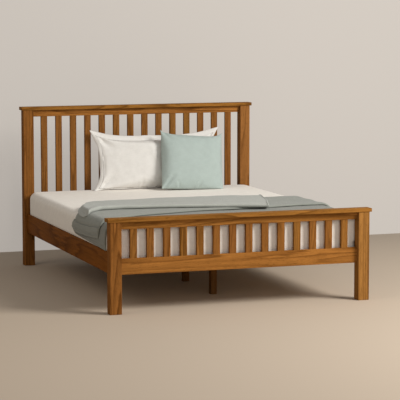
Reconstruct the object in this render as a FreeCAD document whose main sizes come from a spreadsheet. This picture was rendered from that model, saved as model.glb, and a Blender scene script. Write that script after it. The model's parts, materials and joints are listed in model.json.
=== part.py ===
"""Slatted oak bed with a high head end, a low foot end and its bedding.

Frame: millimetres, +Z up, origin on the floor under the middle of the bed.
-Y is the foot end and +Y the head end. Left and right are as seen from the foot end,
with +X to the right.
"""

import FreeCAD, Part
import math
import os
import re
import Sketcher

# ---------------------------------------------------------------- driving sizes

SIZES = {
    # overall, over the posts
    "frame_width": 1650,
    "frame_length": 2128,
    # posts
    "post_width": 72,
    "post_depth": 64,
    "head_post_height": 1069,
    "foot_post_height": 543.5,
    "arris_radius": 3,
    "foot_chamfer": 2,
    # caps that lie over the posts
    "cap_thickness": 22,
    "cap_end_overhang": 13,
    "cap_edge_overhang": 4.5,
    "cap_chamfer": 1.5,
    # stub tenons on top of the posts, in the caps
    "post_tenon_width": 40,
    "post_tenon_depth": 30,
    "post_tenon_height": 14,
    # rails of the head and foot ends
    "end_rail_thickness": 24,
    "end_rail_setback": 27.5,
    "top_rail_height": 46,
    "low_rail_height": 95,
    "low_rail_level": 230,
    "rail_tenon_length": 30,
    "rail_tenon_thickness": 12,
    "rail_tenon_shoulder": 8,
    # upright slats of the head and foot ends
    "slat_count": 14,
    "slat_width": 44,
    "slat_thickness": 18,
    "slat_tenon_length": 12,
    "slat_tenon_thickness": 10,
    "slat_tenon_shoulder": 4,
    "slat_chamfer": 1.5,
    # side rails
    "side_rail_height": 127,
    "side_rail_thickness": 25,
    "side_rail_inset": 18,
    # the base that carries the mattress
    "ledger_drop": 75,
    "ledger_width": 25,
    "ledger_height": 22,
    "ledger_end_gap": 66,
    "centre_rail_width": 40,
    "centre_rail_height": 48,
    "centre_leg_side": 40,
    "centre_leg_count": 3,
    "leg_tenon_side": 22,
    "leg_tenon_length": 25,
    "base_slat_count": 14,
    "base_slat_width": 70,
    "base_slat_thickness": 18,
    "base_slat_end_gap": 5,
    "base_slat_margin": 25,
    "webbing_width": 25,
    "webbing_thickness": 1.2,
    "webbing_spread": 960,
    # corner brackets and their fixings
    "bracket_thickness": 3,
    "bracket_height": 100,
    "bracket_rise": 10,
    "bracket_rail_leg": 60,
    "bracket_post_leg": 27,
    "bracket_screw_pitch": 66,
    "bracket_screw_spacing": 30,
    "bolt_radius": 4,
    "bolt_length": 18,
    "bolt_head_flats": 13,
    "bolt_head_height": 5.3,
    "bolt_pitch": 46,
    "bolt_edge_distance": 12.5,
    "screw_head_flats": 8,
    "screw_head_height": 2.4,
    # hangers that carry the centre rail
    "hanger_thickness": 2.5,
    "hanger_reach": 40,
    "hanger_flange": 26,
    "hanger_screw_pitch": 26,
    # mattress in its sheet
    "rest_gap": 0.3,
    "mattress_end_gap": 5,
    "mattress_side_gap": 6,
    "mattress_thickness": 210.5,
    "mattress_corner_radius": 75,
    "mattress_edge_radius": 45,
    "mattress_tuck": 24,
    "mattress_lip": 8,
    # pillow with a flat flange
    "pillow_width": 936,
    "pillow_height": 425,
    "pillow_thickness": 140,
    "pillow_flange": 38,
    "pillow_flange_thickness": 6,
    "pillow_draw": 46,
    "pillow_crown": 108,
    "pillow_lean": 12,
    "pillow_offset": 112,
    "pillow_clearance": 0.3,
    # square cushion
    "cushion_width": 458,
    "cushion_height": 424,
    "cushion_thickness": 140,
    "cushion_draw": 24,
    "cushion_crown": 108,
    "cushion_lean": 18,
    "cushion_offset": 335,
    "cushion_clearance": 0.4,
    # folded throw
    "throw_leaf": 13,
    "throw_press": 1,
    "throw_leaf_round": 8,
    "throw_top_leaf": 22,
    "throw_top_round": 13,
    "throw_foot_gap": 33,
    "throw_width": 935,
    "throw_middle_width": 590,
    "throw_top_width": 400,
    "throw_fold_setback": 20,
    "throw_left_drop": 151,
    "throw_middle_drop": 120,
    "throw_right_drop": 96,
    "throw_top_reach": 430,
    "throw_top_wrap": 50,
    "throw_corner_reach": 136,
    "throw_corner_run": 313,
    "throw_drop_setback": 188,
}

# ------------------------------------------------ formulas in the driving sizes

CLEAR_WIDTH = "(frame_width - 2 * post_width)"
CLEAR_LENGTH = "(frame_length - 2 * post_depth)"
POST_X = "((frame_width - post_width) / 2)"
POST_Y = "((frame_length - post_depth) / 2)"
CAP_LENGTH = "(frame_width + 2 * cap_end_overhang)"
CAP_WIDTH = "(post_depth + 2 * cap_edge_overhang)"
RAIL_SHIFT = "(end_rail_setback + end_rail_thickness / 2 - post_depth / 2)"
TENON_DROP = "(2 * rail_tenon_shoulder)"
SLAT_PITCH = f"(({CLEAR_WIDTH} + slat_width) / (slat_count + 1))"
SLAT_SPAN = f"({SLAT_PITCH} * (slat_count - 1))"
SLAT_FOOT = "(low_rail_level + low_rail_height)"
SIDE_INNER = "(frame_width / 2 - side_rail_inset - side_rail_thickness)"
SIDE_CENTRE = "(frame_width / 2 - side_rail_inset - side_rail_thickness / 2)"
LEDGER_LENGTH = f"({CLEAR_LENGTH} - 2 * ledger_end_gap)"
BASE_LEVEL = "(low_rail_level + side_rail_height - ledger_drop)"
LEDGER_CENTRE = f"({BASE_LEVEL} - ledger_height / 2)"
BRACKET_LEVEL = "(low_rail_level + bracket_rise)"
BRACKET_MIDDLE = f"({BRACKET_LEVEL} + bracket_height / 2)"
BOLT_X = f"({SIDE_INNER} - bracket_thickness - bolt_edge_distance)"
FOOT_RAIL_BACK = "(frame_length / 2 - end_rail_setback - end_rail_thickness)"
HEAD_RAIL_FRONT = "(frame_length / 2 - post_depth + end_rail_setback)"
CENTRE_LENGTH = f"({FOOT_RAIL_BACK} + {HEAD_RAIL_FRONT} - 2 * hanger_thickness)"
CENTRE_SHIFT = f"(({HEAD_RAIL_FRONT} - {FOOT_RAIL_BACK}) / 2)"
CENTRE_UNDER = f"({BASE_LEVEL} - centre_rail_height)"
LEG_PITCH = "(frame_length / (centre_leg_count + 1))"
BASE_SLAT_LENGTH = f"(2 * {SIDE_INNER} - 2 * base_slat_end_gap)"
BASE_SPAN = f"({CLEAR_LENGTH} - 2 * base_slat_margin - base_slat_width)"
BASE_PITCH = f"({BASE_SPAN} / (base_slat_count - 1))"
BASE_TOP = f"({BASE_LEVEL} + base_slat_thickness)"
HANGER_SPREAD = "(centre_rail_width / 2 + hanger_thickness + hanger_flange / 2)"
HANGER_MIDDLE = f"({BASE_LEVEL} - centre_rail_height / 2)"
RAIL_TOP = "(low_rail_level + side_rail_height)"
MATTRESS_WIDTH = f"(2 * ({SIDE_INNER} - mattress_side_gap + mattress_tuck))"
MATTRESS_LENGTH = f"({CLEAR_LENGTH} - 2 * mattress_end_gap)"
MATTRESS_BOTTOM = f"({BASE_TOP} + webbing_thickness + rest_gap)"
MATTRESS_TOP = f"({MATTRESS_BOTTOM} + mattress_thickness)"

# ------------------------------------------------------ constants that are not sizes

TOLERANCE = 1e-6
CROWN_RINGS = 3
EDGE_RINGS = 3
BISECTIONS = 24
FOOT_DRAW_SHARE = 0.25

doc = FreeCAD.newDocument("SlattedBed")
sheet = doc.addObject("Spreadsheet::Sheet", "Sizes")
for row, (alias, amount) in enumerate(SIZES.items(), start=1):
    sheet.set(f"A{row}", alias)
    sheet.set(f"B{row}", str(amount))
    sheet.setAlias(f"B{row}", alias)
doc.recompute()

SUBPARTS = []


def qualified(formula):
    """Point every size named in a formula at its cell in the sheet."""
    return re.sub(r"[a-z][a-z_]+", lambda word: f"Sizes.{word[0]}" if word[0] in SIZES else word[0],
                  formula)


def bind(target, path, formula):
    """Tie one property to a formula in the driving sizes."""
    target.setExpression(path, qualified(formula))


def number(formula):
    """The present value of a formula in the driving sizes."""
    return float(sheet.evalExpression(qualified(formula)))


def subpart(shape_object, label, place=("0", "0", "0")):
    """Name a finished sub-part, place it and put it on the list to be written."""
    shape_object.Label = label
    for axis, formula in zip("xyz", place):
        bind(shape_object, f"Placement.Base.{axis}", formula)
    SUBPARTS.append(shape_object)
    return shape_object


# ------------------------------------------------------------- modelling helpers

def start_body(name):
    """An empty body."""
    return doc.addObject("PartDesign::Body", name)


def origin_feature(body, role):
    """One of a body's own origin planes or axes."""
    return next(item for item in body.Origin.OriginFeatures if item.Role == role)


def rectangle(body, name, role, size, offset=("0", "0", "0")):
    """A sketch of one rectangle centred on its own origin.

    size holds the formulas of the two sides, offset those of the sketch's shift in the
    sketch's own axes, the last of them along its normal.
    """
    sketch = body.newObject("Sketcher::SketchObject", f"{body.Name}_{name}")
    sketch.AttachmentSupport = [(origin_feature(body, role), "")]
    sketch.MapMode = "FlatFace"
    for axis, formula in zip("xyz", offset):
        bind(sketch, f"AttachmentOffset.Base.{axis}", formula)
    wide, high = (number(side) / 2 for side in size)
    corners = [(-wide, -high), (wide, -high), (wide, high), (-wide, high)]
    points = [FreeCAD.Vector(x, y, 0) for x, y in corners]
    for first in range(4):
        sketch.addGeometry(Part.LineSegment(points[first], points[(first + 1) % 4]), False)
    for first in range(4):
        sketch.addConstraint(Sketcher.Constraint("Coincident", first, 2, (first + 1) % 4, 1))
    for first in (0, 2):
        sketch.addConstraint(Sketcher.Constraint("Horizontal", first))
        sketch.addConstraint(Sketcher.Constraint("Vertical", first + 1))
    sketch.addConstraint(Sketcher.Constraint("Symmetric", 0, 1, 2, 1, -1, 1))
    for kind, edge, side, word in (("DistanceX", 0, size[0], "across"),
                                   ("DistanceY", 1, size[1], "along")):
        place = sketch.addConstraint(Sketcher.Constraint(kind, edge, 1, edge, 2, number(side)))
        sketch.renameConstraint(place, word)
        bind(sketch, f"Constraints.{word}", side)
    return sketch


def pad(body, sketch, length, middle=False):
    """Raise a sketch into the body."""
    feature = body.newObject("PartDesign::Pad", f"{sketch.Name}_pad")
    feature.Profile = sketch
    feature.Midplane = middle
    bind(feature, "Length", length)
    doc.recompute()
    return feature


def pocket(body, sketch, depth, away=False):
    """Cut a sketch into the body, against its normal or, with away, along it."""
    feature = body.newObject("PartDesign::Pocket", f"{sketch.Name}_pocket")
    feature.Profile = sketch
    feature.Reversed = away
    bind(feature, "Length", depth)
    doc.recompute()
    return feature


def edges_along(feature, axis):
    """Names of the straight edges of a feature that run along one axis."""
    names = []
    for index, edge in enumerate(feature.Shape.Edges, start=1):
        run = edge.Vertexes[-1].Point - edge.Vertexes[0].Point
        if abs(abs(run.normalize()[axis]) - 1) < TOLERANCE:
            names.append(f"Edge{index}")
    return names


def round_edges(body, feature, names, radius):
    """Round the named edges of a feature."""
    rounded = body.newObject("PartDesign::Fillet", f"{feature.Name}_round")
    rounded.Base = (feature, names)
    bind(rounded, "Radius", radius)
    doc.recompute()
    return rounded


def ease_edges(body, feature, names, size):
    """Chamfer the named edges of a feature."""
    eased = body.newObject("PartDesign::Chamfer", f"{feature.Name}_ease")
    eased.Base = (feature, names)
    bind(eased, "Size", size)
    doc.recompute()
    return eased


def row_pattern(body, feature, role, length, count):
    """Repeat a feature along one of the body's axes."""
    pattern = body.newObject("PartDesign::LinearPattern", f"{feature.Name}_row")
    pattern.Originals = [feature]
    pattern.Direction = (origin_feature(body, role), [""])
    bind(pattern, "Length", length)
    bind(pattern, "Occurrences", count)
    body.Tip = pattern
    doc.recompute()
    return pattern


def hole(body, name, role, radius, depth, offset, away=False):
    """Cut one round blind hole."""
    sketch = body.newObject("Sketcher::SketchObject", f"{body.Name}_{name}")
    sketch.AttachmentSupport = [(origin_feature(body, role), "")]
    sketch.MapMode = "FlatFace"
    for axis, formula in zip("xyz", offset):
        bind(sketch, f"AttachmentOffset.Base.{axis}", formula)
    centre = FreeCAD.Vector(0, 0, 0)
    normal = FreeCAD.Vector(0, 0, 1)
    sketch.addGeometry(Part.Circle(centre, normal, number(radius)), False)
    sketch.addConstraint(Sketcher.Constraint("Coincident", 0, 3, -1, 1))
    place = sketch.addConstraint(Sketcher.Constraint("Radius", 0, number(radius)))
    sketch.renameConstraint(place, "radius")
    bind(sketch, "Constraints.radius", radius)
    return pocket(body, sketch, depth, away)


def put(item, position, turn):
    """Aim an object and tie its place to three formulas."""
    item.Placement = FreeCAD.Placement(FreeCAD.Vector(0, 0, 0), turn)
    for axis, formula in zip("xyz", position):
        bind(item, f"Placement.Base.{axis}", formula)
    return item


def fixings(label, places, build):
    """One sub-part made of the same fixing at several places.

    build makes one fixing at the origin, and each place holds the three formulas of its
    position and the rotation that aims it.
    """
    compound = doc.addObject("Part::Compound", label)
    compound.Links = [put(build(f"{label}_{index:02d}"), position, turn)
                      for index, (position, turn) in enumerate(places, start=1)]
    return subpart(compound, label)


def turned(degrees):
    """A turn about the vertical axis."""
    return FreeCAD.Rotation(FreeCAD.Vector(0, 0, 1), degrees)


def aimed(direction):
    """The rotation that aims +Z along a direction."""
    return FreeCAD.Rotation(FreeCAD.Vector(0, 0, 1), FreeCAD.Vector(*direction))


def cylinder(name, radius, length):
    """A cylinder along +Z."""
    item = doc.addObject("Part::Cylinder", name)
    bind(item, "Radius", radius)
    bind(item, "Height", length)
    return item


def hexagon(name, flats, height):
    """A hexagonal prism along +Z."""
    item = doc.addObject("Part::Prism", name)
    item.Polygon = 6
    bind(item, "Circumradius", f"{flats} / sqrt(3)")
    bind(item, "Height", height)
    return item


def with_screw_heads(name, plate, places, direction):
    """A plate with the heads of its wood screws standing on it along one direction."""
    joined = doc.addObject("Part::MultiFuse", name)
    joined.Shapes = [plate] + [
        put(hexagon(f"{name}_head_{index}", "screw_head_flats", "screw_head_height"),
            position, aimed(direction))
        for index, position in enumerate(places, start=1)]
    return joined


# ------------------------------------------------------------------ posts and caps

def make_post(label, height, side, end):
    """One post: side is -1 at the left, end is -1 at the foot.

    Its inner side has the two rail mortises, its face towards the bed has the bores of
    the bed bolts, and a stub tenon stands on its top.
    """
    body = start_body(label)
    outline = rectangle(body, "section", "XY_Plane", ("post_width", "post_depth"))
    column = pad(body, outline, height)
    uprights = edges_along(column, 2)
    rounded = round_edges(body, column, uprights, "arris_radius")
    bottom = [f"Edge{index}" for index, edge in enumerate(rounded.Shape.Edges, start=1)
              if edge.BoundBox.ZMax < TOLERANCE]
    ease_edges(body, rounded, bottom, "foot_chamfer")
    inner = f"({-side} * post_width / 2)"
    top_middle = f"({height} - top_rail_height / 2)"
    low_middle = "(low_rail_level + low_rail_height / 2)"
    for word, middle, rail in (("top", top_middle, "top_rail_height"),
                               ("low", low_middle, "low_rail_height")):
        size = ("rail_tenon_thickness", f"({rail} - {TENON_DROP})")
        mortise = rectangle(body, f"{word}_mortise", "YZ_Plane", size,
                            (RAIL_SHIFT, middle, inner))
        pocket(body, mortise, "rail_tenon_length", away=side > 0)
    bolt_shift = f"({side} * ({BOLT_X} - {POST_X}))"
    face = f"({end} * post_depth / 2)"
    for word, sign in (("lower", "-"), ("upper", "+")):
        level = f"({BRACKET_MIDDLE} {sign} bolt_pitch / 2)"
        hole(body, f"{word}_bore", "XZ_Plane", "bolt_radius",
             "(bolt_length - bracket_thickness)", (bolt_shift, level, face), away=end < 0)
    stub = rectangle(body, "stub", "XY_Plane", ("post_tenon_width", "post_tenon_depth"),
                     ("0", "0", height))
    pad(body, stub, "post_tenon_height")
    place = (f"{side} * {POST_X}", f"{end} * {POST_Y}", "0")
    return subpart(body, label, place)


def make_cap(label, level, end):
    """The flat plank over one end's posts and top rail, mortised from below for the posts."""
    body = start_body(label)
    outline = rectangle(body, "section", "XY_Plane", (CAP_LENGTH, CAP_WIDTH))
    plank = pad(body, outline, "cap_thickness")
    names = [f"Edge{index}" for index in range(1, len(plank.Shape.Edges) + 1)]
    ease_edges(body, plank, names, "cap_chamfer")
    for word, side in (("left", -1), ("right", 1)):
        mortise = rectangle(body, f"{word}_mortise", "XY_Plane",
                            ("post_tenon_width", "post_tenon_depth"),
                            (f"({side} * {POST_X})", "0", "0"))
        pocket(body, mortise, "post_tenon_height", away=True)
    return subpart(body, label, ("0", f"{end} * {POST_Y}", level))


make_post("head_post_left", "head_post_height", -1, 1)
make_post("head_post_right", "head_post_height", 1, 1)
make_post("foot_post_left", "foot_post_height", -1, -1)
make_post("foot_post_right", "foot_post_height", 1, -1)
make_cap("head_cap", "head_post_height", 1)
make_cap("foot_cap", "foot_post_height", -1)


# ------------------------------------------------------- rails and slats of the ends

def make_end_rail(label, height, middle, end, slots_up):
    """A rail across one end, with a tenon at each end and a row of slat mortises.

    middle is the level of its centre line. slots_up puts the mortises in its top edge,
    and otherwise they are in its bottom edge.
    """
    body = start_body(label)
    outline = rectangle(body, "section", "YZ_Plane", ("end_rail_thickness", height))
    board = pad(body, outline, CLEAR_WIDTH, middle=True)
    round_edges(body, board, edges_along(board, 0), "arris_radius")
    tenon = rectangle(body, "tenon", "YZ_Plane",
                      ("rail_tenon_thickness", f"({height} - {TENON_DROP})"))
    pad(body, tenon, f"({CLEAR_WIDTH} + 2 * rail_tenon_length)", middle=True)
    edge = f"({height} / 2)" if slots_up else f"(-{height} / 2)"
    slot = rectangle(body, "mortise", "XY_Plane",
                     ("(slat_width - 2 * slat_tenon_shoulder)", "slat_tenon_thickness"),
                     (f"(-{SLAT_SPAN} / 2)", "0", edge))
    first = pocket(body, slot, "slat_tenon_length", away=not slots_up)
    row_pattern(body, first, "X_Axis", SLAT_SPAN, "slat_count")
    place = ("0", f"{end} * {POST_Y} + {RAIL_SHIFT}", middle)
    return subpart(body, label, place)


def make_slat(label, index, top, end):
    """One upright slat, with a stub tenon at each end; index counts from the left."""
    body = start_body(label)
    outline = rectangle(body, "section", "XY_Plane", ("slat_width", "slat_thickness"))
    height = f"({top} - {SLAT_FOOT})"
    blade = pad(body, outline, height)
    ease_edges(body, blade, edges_along(blade, 2), "slat_chamfer")
    tenon = rectangle(body, "tenon", "XY_Plane",
                      ("(slat_width - 2 * slat_tenon_shoulder)", "slat_tenon_thickness"),
                      ("0", "0", "(-slat_tenon_length)"))
    pad(body, tenon, f"({height} + 2 * slat_tenon_length)")
    place = (f"{index} * {SLAT_PITCH} - {SLAT_SPAN} / 2",
             f"{end} * {POST_Y} + {RAIL_SHIFT}", SLAT_FOOT)
    return subpart(body, label, place)


def make_end(word, post_height, end):
    """The two rails and the row of slats of one end."""
    top_middle = f"({post_height} - top_rail_height / 2)"
    low_middle = "(low_rail_level + low_rail_height / 2)"
    make_end_rail(f"{word}_top_rail", "top_rail_height", top_middle, end, slots_up=False)
    make_end_rail(f"{word}_bottom_rail", "low_rail_height", low_middle, end, slots_up=True)
    for index in range(round(number("slat_count"))):
        make_slat(f"{word}_slat_{index + 1:02d}", index,
                  f"({post_height} - top_rail_height)", end)


make_end("head", "head_post_height", 1)
make_end("foot", "foot_post_height", -1)


# ------------------------------------------------------------- side rails and ledgers

def make_side_rail(label, side):
    """One long rail between the posts."""
    body = start_body(label)
    outline = rectangle(body, "section", "XZ_Plane", ("side_rail_thickness", "side_rail_height"))
    board = pad(body, outline, CLEAR_LENGTH, middle=True)
    round_edges(body, board, edges_along(board, 1), "arris_radius")
    centre = "(low_rail_level + side_rail_height / 2)"
    return subpart(body, label, (f"{side} * {SIDE_CENTRE}", "0", centre))


def make_ledger(label, side):
    """The batten inside one side rail that carries the base slats."""
    body = start_body(label)
    outline = rectangle(body, "section", "XZ_Plane", ("ledger_width", "ledger_height"))
    pad(body, outline, LEDGER_LENGTH, middle=True)
    return subpart(body, label, (f"{side} * ({SIDE_INNER} - ledger_width / 2)", "0",
                                 LEDGER_CENTRE))


for side_word, side_sign in (("left", -1), ("right", 1)):
    make_side_rail(f"side_rail_{side_word}", side_sign)
    make_ledger(f"ledger_{side_word}", side_sign)


# --------------------------------------------------------------------- centre support

def make_centre_rail():
    """The lengthwise rail under the middle of the base slats, mortised for its legs."""
    body = start_body("centre_rail")
    outline = rectangle(body, "section", "XZ_Plane", ("centre_rail_width", "centre_rail_height"))
    pad(body, outline, CENTRE_LENGTH, middle=True)
    slot = rectangle(body, "mortise", "XY_Plane", ("leg_tenon_side", "leg_tenon_side"),
                     ("0", f"(-{LEG_PITCH} * (centre_leg_count - 1) / 2 - {CENTRE_SHIFT})",
                      "(-centre_rail_height / 2)"))
    first = pocket(body, slot, "leg_tenon_length", away=True)
    row_pattern(body, first, "Y_Axis", f"({LEG_PITCH} * (centre_leg_count - 1))",
                "centre_leg_count")
    subpart(body, "centre_rail", ("0", CENTRE_SHIFT, HANGER_MIDDLE))


def make_centre_leg(index):
    """One square leg under the centre rail, with a stub tenon in it."""
    label = f"centre_leg_{index + 1}"
    body = start_body(label)
    outline = rectangle(body, "section", "XY_Plane", ("centre_leg_side", "centre_leg_side"))
    column = pad(body, outline, CENTRE_UNDER)
    ease_edges(body, column, edges_along(column, 2), "slat_chamfer")
    stub = rectangle(body, "stub", "XY_Plane", ("leg_tenon_side", "leg_tenon_side"),
                     ("0", "0", CENTRE_UNDER))
    pad(body, stub, "leg_tenon_length")
    along = f"{LEG_PITCH} * ({index} - (centre_leg_count - 1) / 2)"
    subpart(body, label, ("0", along, "0"))


make_centre_rail()
for leg in range(round(number("centre_leg_count"))):
    make_centre_leg(leg)


def make_hanger(name):
    """A pressed steel hanger: back flanges, and a channel that the rail lies in.

    Its back is at y = 0 and its channel reaches along +Y. The level z = 0 is the middle
    of the centre rail.
    """
    body = start_body(f"{name}_plate")
    outer = ("(centre_rail_width + 2 * hanger_thickness)", "(centre_rail_height + hanger_thickness)")
    channel = rectangle(body, "channel", "XZ_Plane", outer,
                        ("0", "(-hanger_thickness / 2)", "(-hanger_reach)"))
    pad(body, channel, "hanger_reach")
    flange = rectangle(body, "flange", "XZ_Plane",
                       ("(centre_rail_width + 2 * hanger_thickness + 2 * hanger_flange)",
                        "centre_rail_height"),
                       ("0", "0", "(-hanger_thickness)"))
    pad(body, flange, "hanger_thickness")
    trough = rectangle(body, "trough", "XZ_Plane", ("centre_rail_width", "centre_rail_height"),
                       ("0", "0", "(-hanger_reach)"))
    pocket(body, trough, "(hanger_reach - hanger_thickness)", away=True)
    places = [(f"({side} * {HANGER_SPREAD})", "hanger_thickness",
               f"({line} * hanger_screw_pitch / 2)") for side in (-1, 1) for line in (-1, 1)]
    return with_screw_heads(name, body, places, (0, 1, 0))


fixings(
    "centre_rail_hangers",
    [(("0", f"(-{FOOT_RAIL_BACK})", HANGER_MIDDLE), turned(0)),
     (("0", HEAD_RAIL_FRONT, HANGER_MIDDLE), turned(180))],
    make_hanger,
)


# ------------------------------------------------------------ corner brackets, fixings

def make_bracket(name):
    """A steel angle: one leg on the side rail, the other on the post's face.

    The corner is at the origin, the rail leg runs along +Y and the post leg along +X.
    """
    body = start_body(f"{name}_plate")
    rail_leg = rectangle(body, "rail_leg", "XY_Plane", ("bracket_thickness", "bracket_rail_leg"),
                         ("(bracket_thickness / 2)", "(bracket_rail_leg / 2)", "0"))
    pad(body, rail_leg, "bracket_height")
    post_leg = rectangle(body, "post_leg", "XY_Plane", ("bracket_post_leg", "bracket_thickness"),
                         ("(bracket_post_leg / 2)", "(bracket_thickness / 2)", "0"))
    pad(body, post_leg, "bracket_height")
    for line in (-1, 1):
        hole(body, f"bolt_{line + 1}", "XZ_Plane", "bolt_radius", "bracket_thickness",
             ("(bracket_thickness + bolt_edge_distance)",
              f"(bracket_height / 2 + {line} * bolt_pitch / 2)", "0"))
    places = [("bracket_thickness",
               f"(bracket_rail_leg / 2 + {column} * bracket_screw_spacing / 2)",
               f"(bracket_height / 2 + {line} * bracket_screw_pitch / 2)")
              for line in (-1, 1) for column in (-1, 1)]
    return with_screw_heads(name, body, places, (1, 0, 0))


def make_mirrored_bracket(name):
    """The same angle mirrored across the rail's inner face."""
    mirror = doc.addObject("Part::Mirroring", f"{name}_mirror")
    mirror.Source = make_bracket(f"{name}_source")
    mirror.Normal = FreeCAD.Vector(1, 0, 0)
    return mirror


# Each corner with its signs and the turn that brings a bracket to it. The plain bracket
# fits the foot left and head right corners, and the mirrored one the other two.
CORNERS = [(-1, -1, 0, make_bracket), (1, 1, 180, make_bracket),
           (1, -1, 0, make_mirrored_bracket), (-1, 1, 180, make_mirrored_bracket)]

brackets = doc.addObject("Part::Compound", "corner_brackets")
brackets.Links = [
    put(build(f"bracket_{place}"), (f"{side} * {SIDE_INNER}", f"{end} * {CLEAR_LENGTH} / 2",
                                    BRACKET_LEVEL), turned(degrees))
    for place, (side, end, degrees, build) in enumerate(CORNERS, start=1)]
subpart(brackets, "corner_brackets")


def make_bolt(name):
    """A hexagon bolt whose head rests on z = 0 and whose shank runs down."""
    bolt = doc.addObject("Part::Fuse", name)
    bolt.Base = hexagon(f"{name}_head", "bolt_head_flats", "bolt_head_height")
    bolt.Tool = cylinder(f"{name}_shank", "bolt_radius", "bolt_length")
    bind(bolt.Tool, "Placement.Base.z", "-bolt_length")
    return bolt


fixings(
    "bed_bolts",
    [((f"({side} * {BOLT_X})", f"({end} * ({CLEAR_LENGTH} / 2 - bracket_thickness))",
       f"({BRACKET_MIDDLE} + {line} * bolt_pitch / 2)"), aimed((0, -end, 0)))
     for side, end, _, _ in CORNERS for line in (-1, 1)],
    make_bolt,
)


# ------------------------------------------------------------------------ slatted base

def make_base_slats():
    """The row of flat slats that lie across the ledgers and the centre rail."""
    slats = []
    for index in range(round(number("base_slat_count"))):
        slat = doc.addObject("Part::Box", f"base_slat_{index + 1:02d}")
        bind(slat, "Length", BASE_SLAT_LENGTH)
        bind(slat, "Width", "base_slat_width")
        bind(slat, "Height", "base_slat_thickness")
        bind(slat, "Placement.Base.x", f"-{BASE_SLAT_LENGTH} / 2")
        bind(slat, "Placement.Base.y",
             f"{index} * {BASE_PITCH} - {BASE_SPAN} / 2 - base_slat_width / 2")
        bind(slat, "Placement.Base.z", BASE_LEVEL)
        slats.append(slat)
    group = doc.addObject("Part::Compound", "base_slats")
    group.Links = slats
    subpart(group, "base_slats")


def make_webbing():
    """The two tapes stapled over the base slats to keep them spaced."""
    tapes = []
    for word, side in (("left", -1), ("right", 1)):
        tape = doc.addObject("Part::Box", f"webbing_{word}")
        bind(tape, "Length", "webbing_width")
        bind(tape, "Width", f"{BASE_SPAN} + base_slat_width")
        bind(tape, "Height", "webbing_thickness")
        bind(tape, "Placement.Base.x", f"{side} * webbing_spread / 2 - webbing_width / 2")
        bind(tape, "Placement.Base.y", f"-({BASE_SPAN} + base_slat_width) / 2")
        bind(tape, "Placement.Base.z", BASE_TOP)
        tapes.append(tape)
    group = doc.addObject("Part::Compound", "slat_webbing")
    group.Links = tapes
    subpart(group, "slat_webbing")


make_base_slats()
make_webbing()


# ----------------------------------------------------------------------- soft outlines

def arc_through(start, middle, finish):
    """One arc edge through three points."""
    return Part.Arc(start, middle, finish).toShape()


def line(first, last):
    """One straight edge."""
    return Part.LineSegment(first, last).toShape()


def rounded_rectangle(half_x, half_y, radius, level):
    """A closed wire: four lines and four quarter arcs at one level."""
    vector = FreeCAD.Vector
    diagonal = radius * math.sqrt(0.5)
    edges = []
    for sign_x, sign_y, turn in ((1, -1, 1), (1, 1, -1), (-1, 1, 1), (-1, -1, -1)):
        centre = vector(sign_x * (half_x - radius), sign_y * (half_y - radius), level)
        along_x = centre + vector(0, sign_y * radius, 0)
        along_y = centre + vector(sign_x * radius, 0, 0)
        knee = centre + vector(sign_x * diagonal, sign_y * diagonal, 0)
        first, last = (along_x, along_y) if turn > 0 else (along_y, along_x)
        edges.append((first, knee, last))
    outline = []
    for index, (first, knee, last) in enumerate(edges):
        outline.append(arc_through(first, knee, last))
        following = edges[(index + 1) % 4][0]
        outline.append(line(last, following))
    return Part.Wire(outline)


def drawn_in_square(width, height, draw, inset, level):
    """A closed wire of four arcs whose sides bow inwards between the corners.

    It stands on y = 0, where it is drawn in less, and is centred on x = 0. inset moves
    every side inwards and level is its place through the thickness.
    """
    vector = FreeCAD.Vector
    half = width / 2 - inset
    low, high = inset, height - inset
    middle = height / 2
    corners = [vector(-half, low, level), vector(half, low, level),
               vector(half, high, level), vector(-half, high, level)]
    knees = [vector(0, low + draw * FOOT_DRAW_SHARE, level), vector(half - draw, middle, level),
             vector(0, high - draw, level), vector(draw - half, middle, level)]
    edges = [arc_through(corners[index], knees[index], corners[(index + 1) % 4])
             for index in range(4)]
    return Part.Wire(edges)


def plain_feature(label, shape, placement=None):
    """Hold a shape made here as a sub-part."""
    item = doc.addObject("Part::Feature", label)
    item.Label = label
    item.Shape = shape
    if placement is not None:
        item.Placement = placement
    SUBPARTS.append(item)
    return item


# --------------------------------------------------------------------------- mattress

def mattress_shape():
    """Flat-topped mattress: tucked in below the side rails' top, full above it."""
    half_x = number(f"{MATTRESS_WIDTH} / 2")
    half_y = number(f"{MATTRESS_LENGTH} / 2")
    corner = number("mattress_corner_radius")
    edge = number("mattress_edge_radius")
    tuck = number("mattress_tuck")
    lip = number("mattress_lip")
    gap = number("rest_gap")
    bottom = number(MATTRESS_BOTTOM)
    shelf = number(RAIL_TOP) + gap
    top = number(MATTRESS_TOP)
    sections = [(tuck + lip, bottom), (tuck, bottom + lip), (tuck, shelf), (lip, shelf + gap),
                (0, shelf + 2 * lip), (0, top - edge)]
    for step in range(1, EDGE_RINGS + 1):
        angle = math.radians(90 * step / EDGE_RINGS)
        sections.append((edge - edge * math.cos(angle), top - edge + edge * math.sin(angle)))
    wires = [rounded_rectangle(half_x - inset, half_y - min(inset, edge), corner - inset, level)
             for inset, level in sections]
    return Part.makeLoft(wires, True, True)


plain_feature("mattress", mattress_shape())


# ------------------------------------------------------------------- pillow and cushion

def stuffed_shape(width, height, thickness, draw, crown, inset):
    """A stuffed cover with a crown on both faces, standing on y = 0.

    The crown rises from the seam in a quarter ellipse that is crown wide.
    """
    angles = [math.radians(90 * ring / CROWN_RINGS) for ring in range(CROWN_RINGS + 1)]
    rings = [(inset + crown * (1 - math.cos(angle)), thickness / 2 * math.sin(angle))
             for angle in angles]
    levels = [(ring, -level) for ring, level in reversed(rings[1:])] + rings
    wires = [drawn_in_square(width, height, draw, ring, level) for ring, level in levels]
    return Part.makeLoft(wires, True, True)


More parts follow.
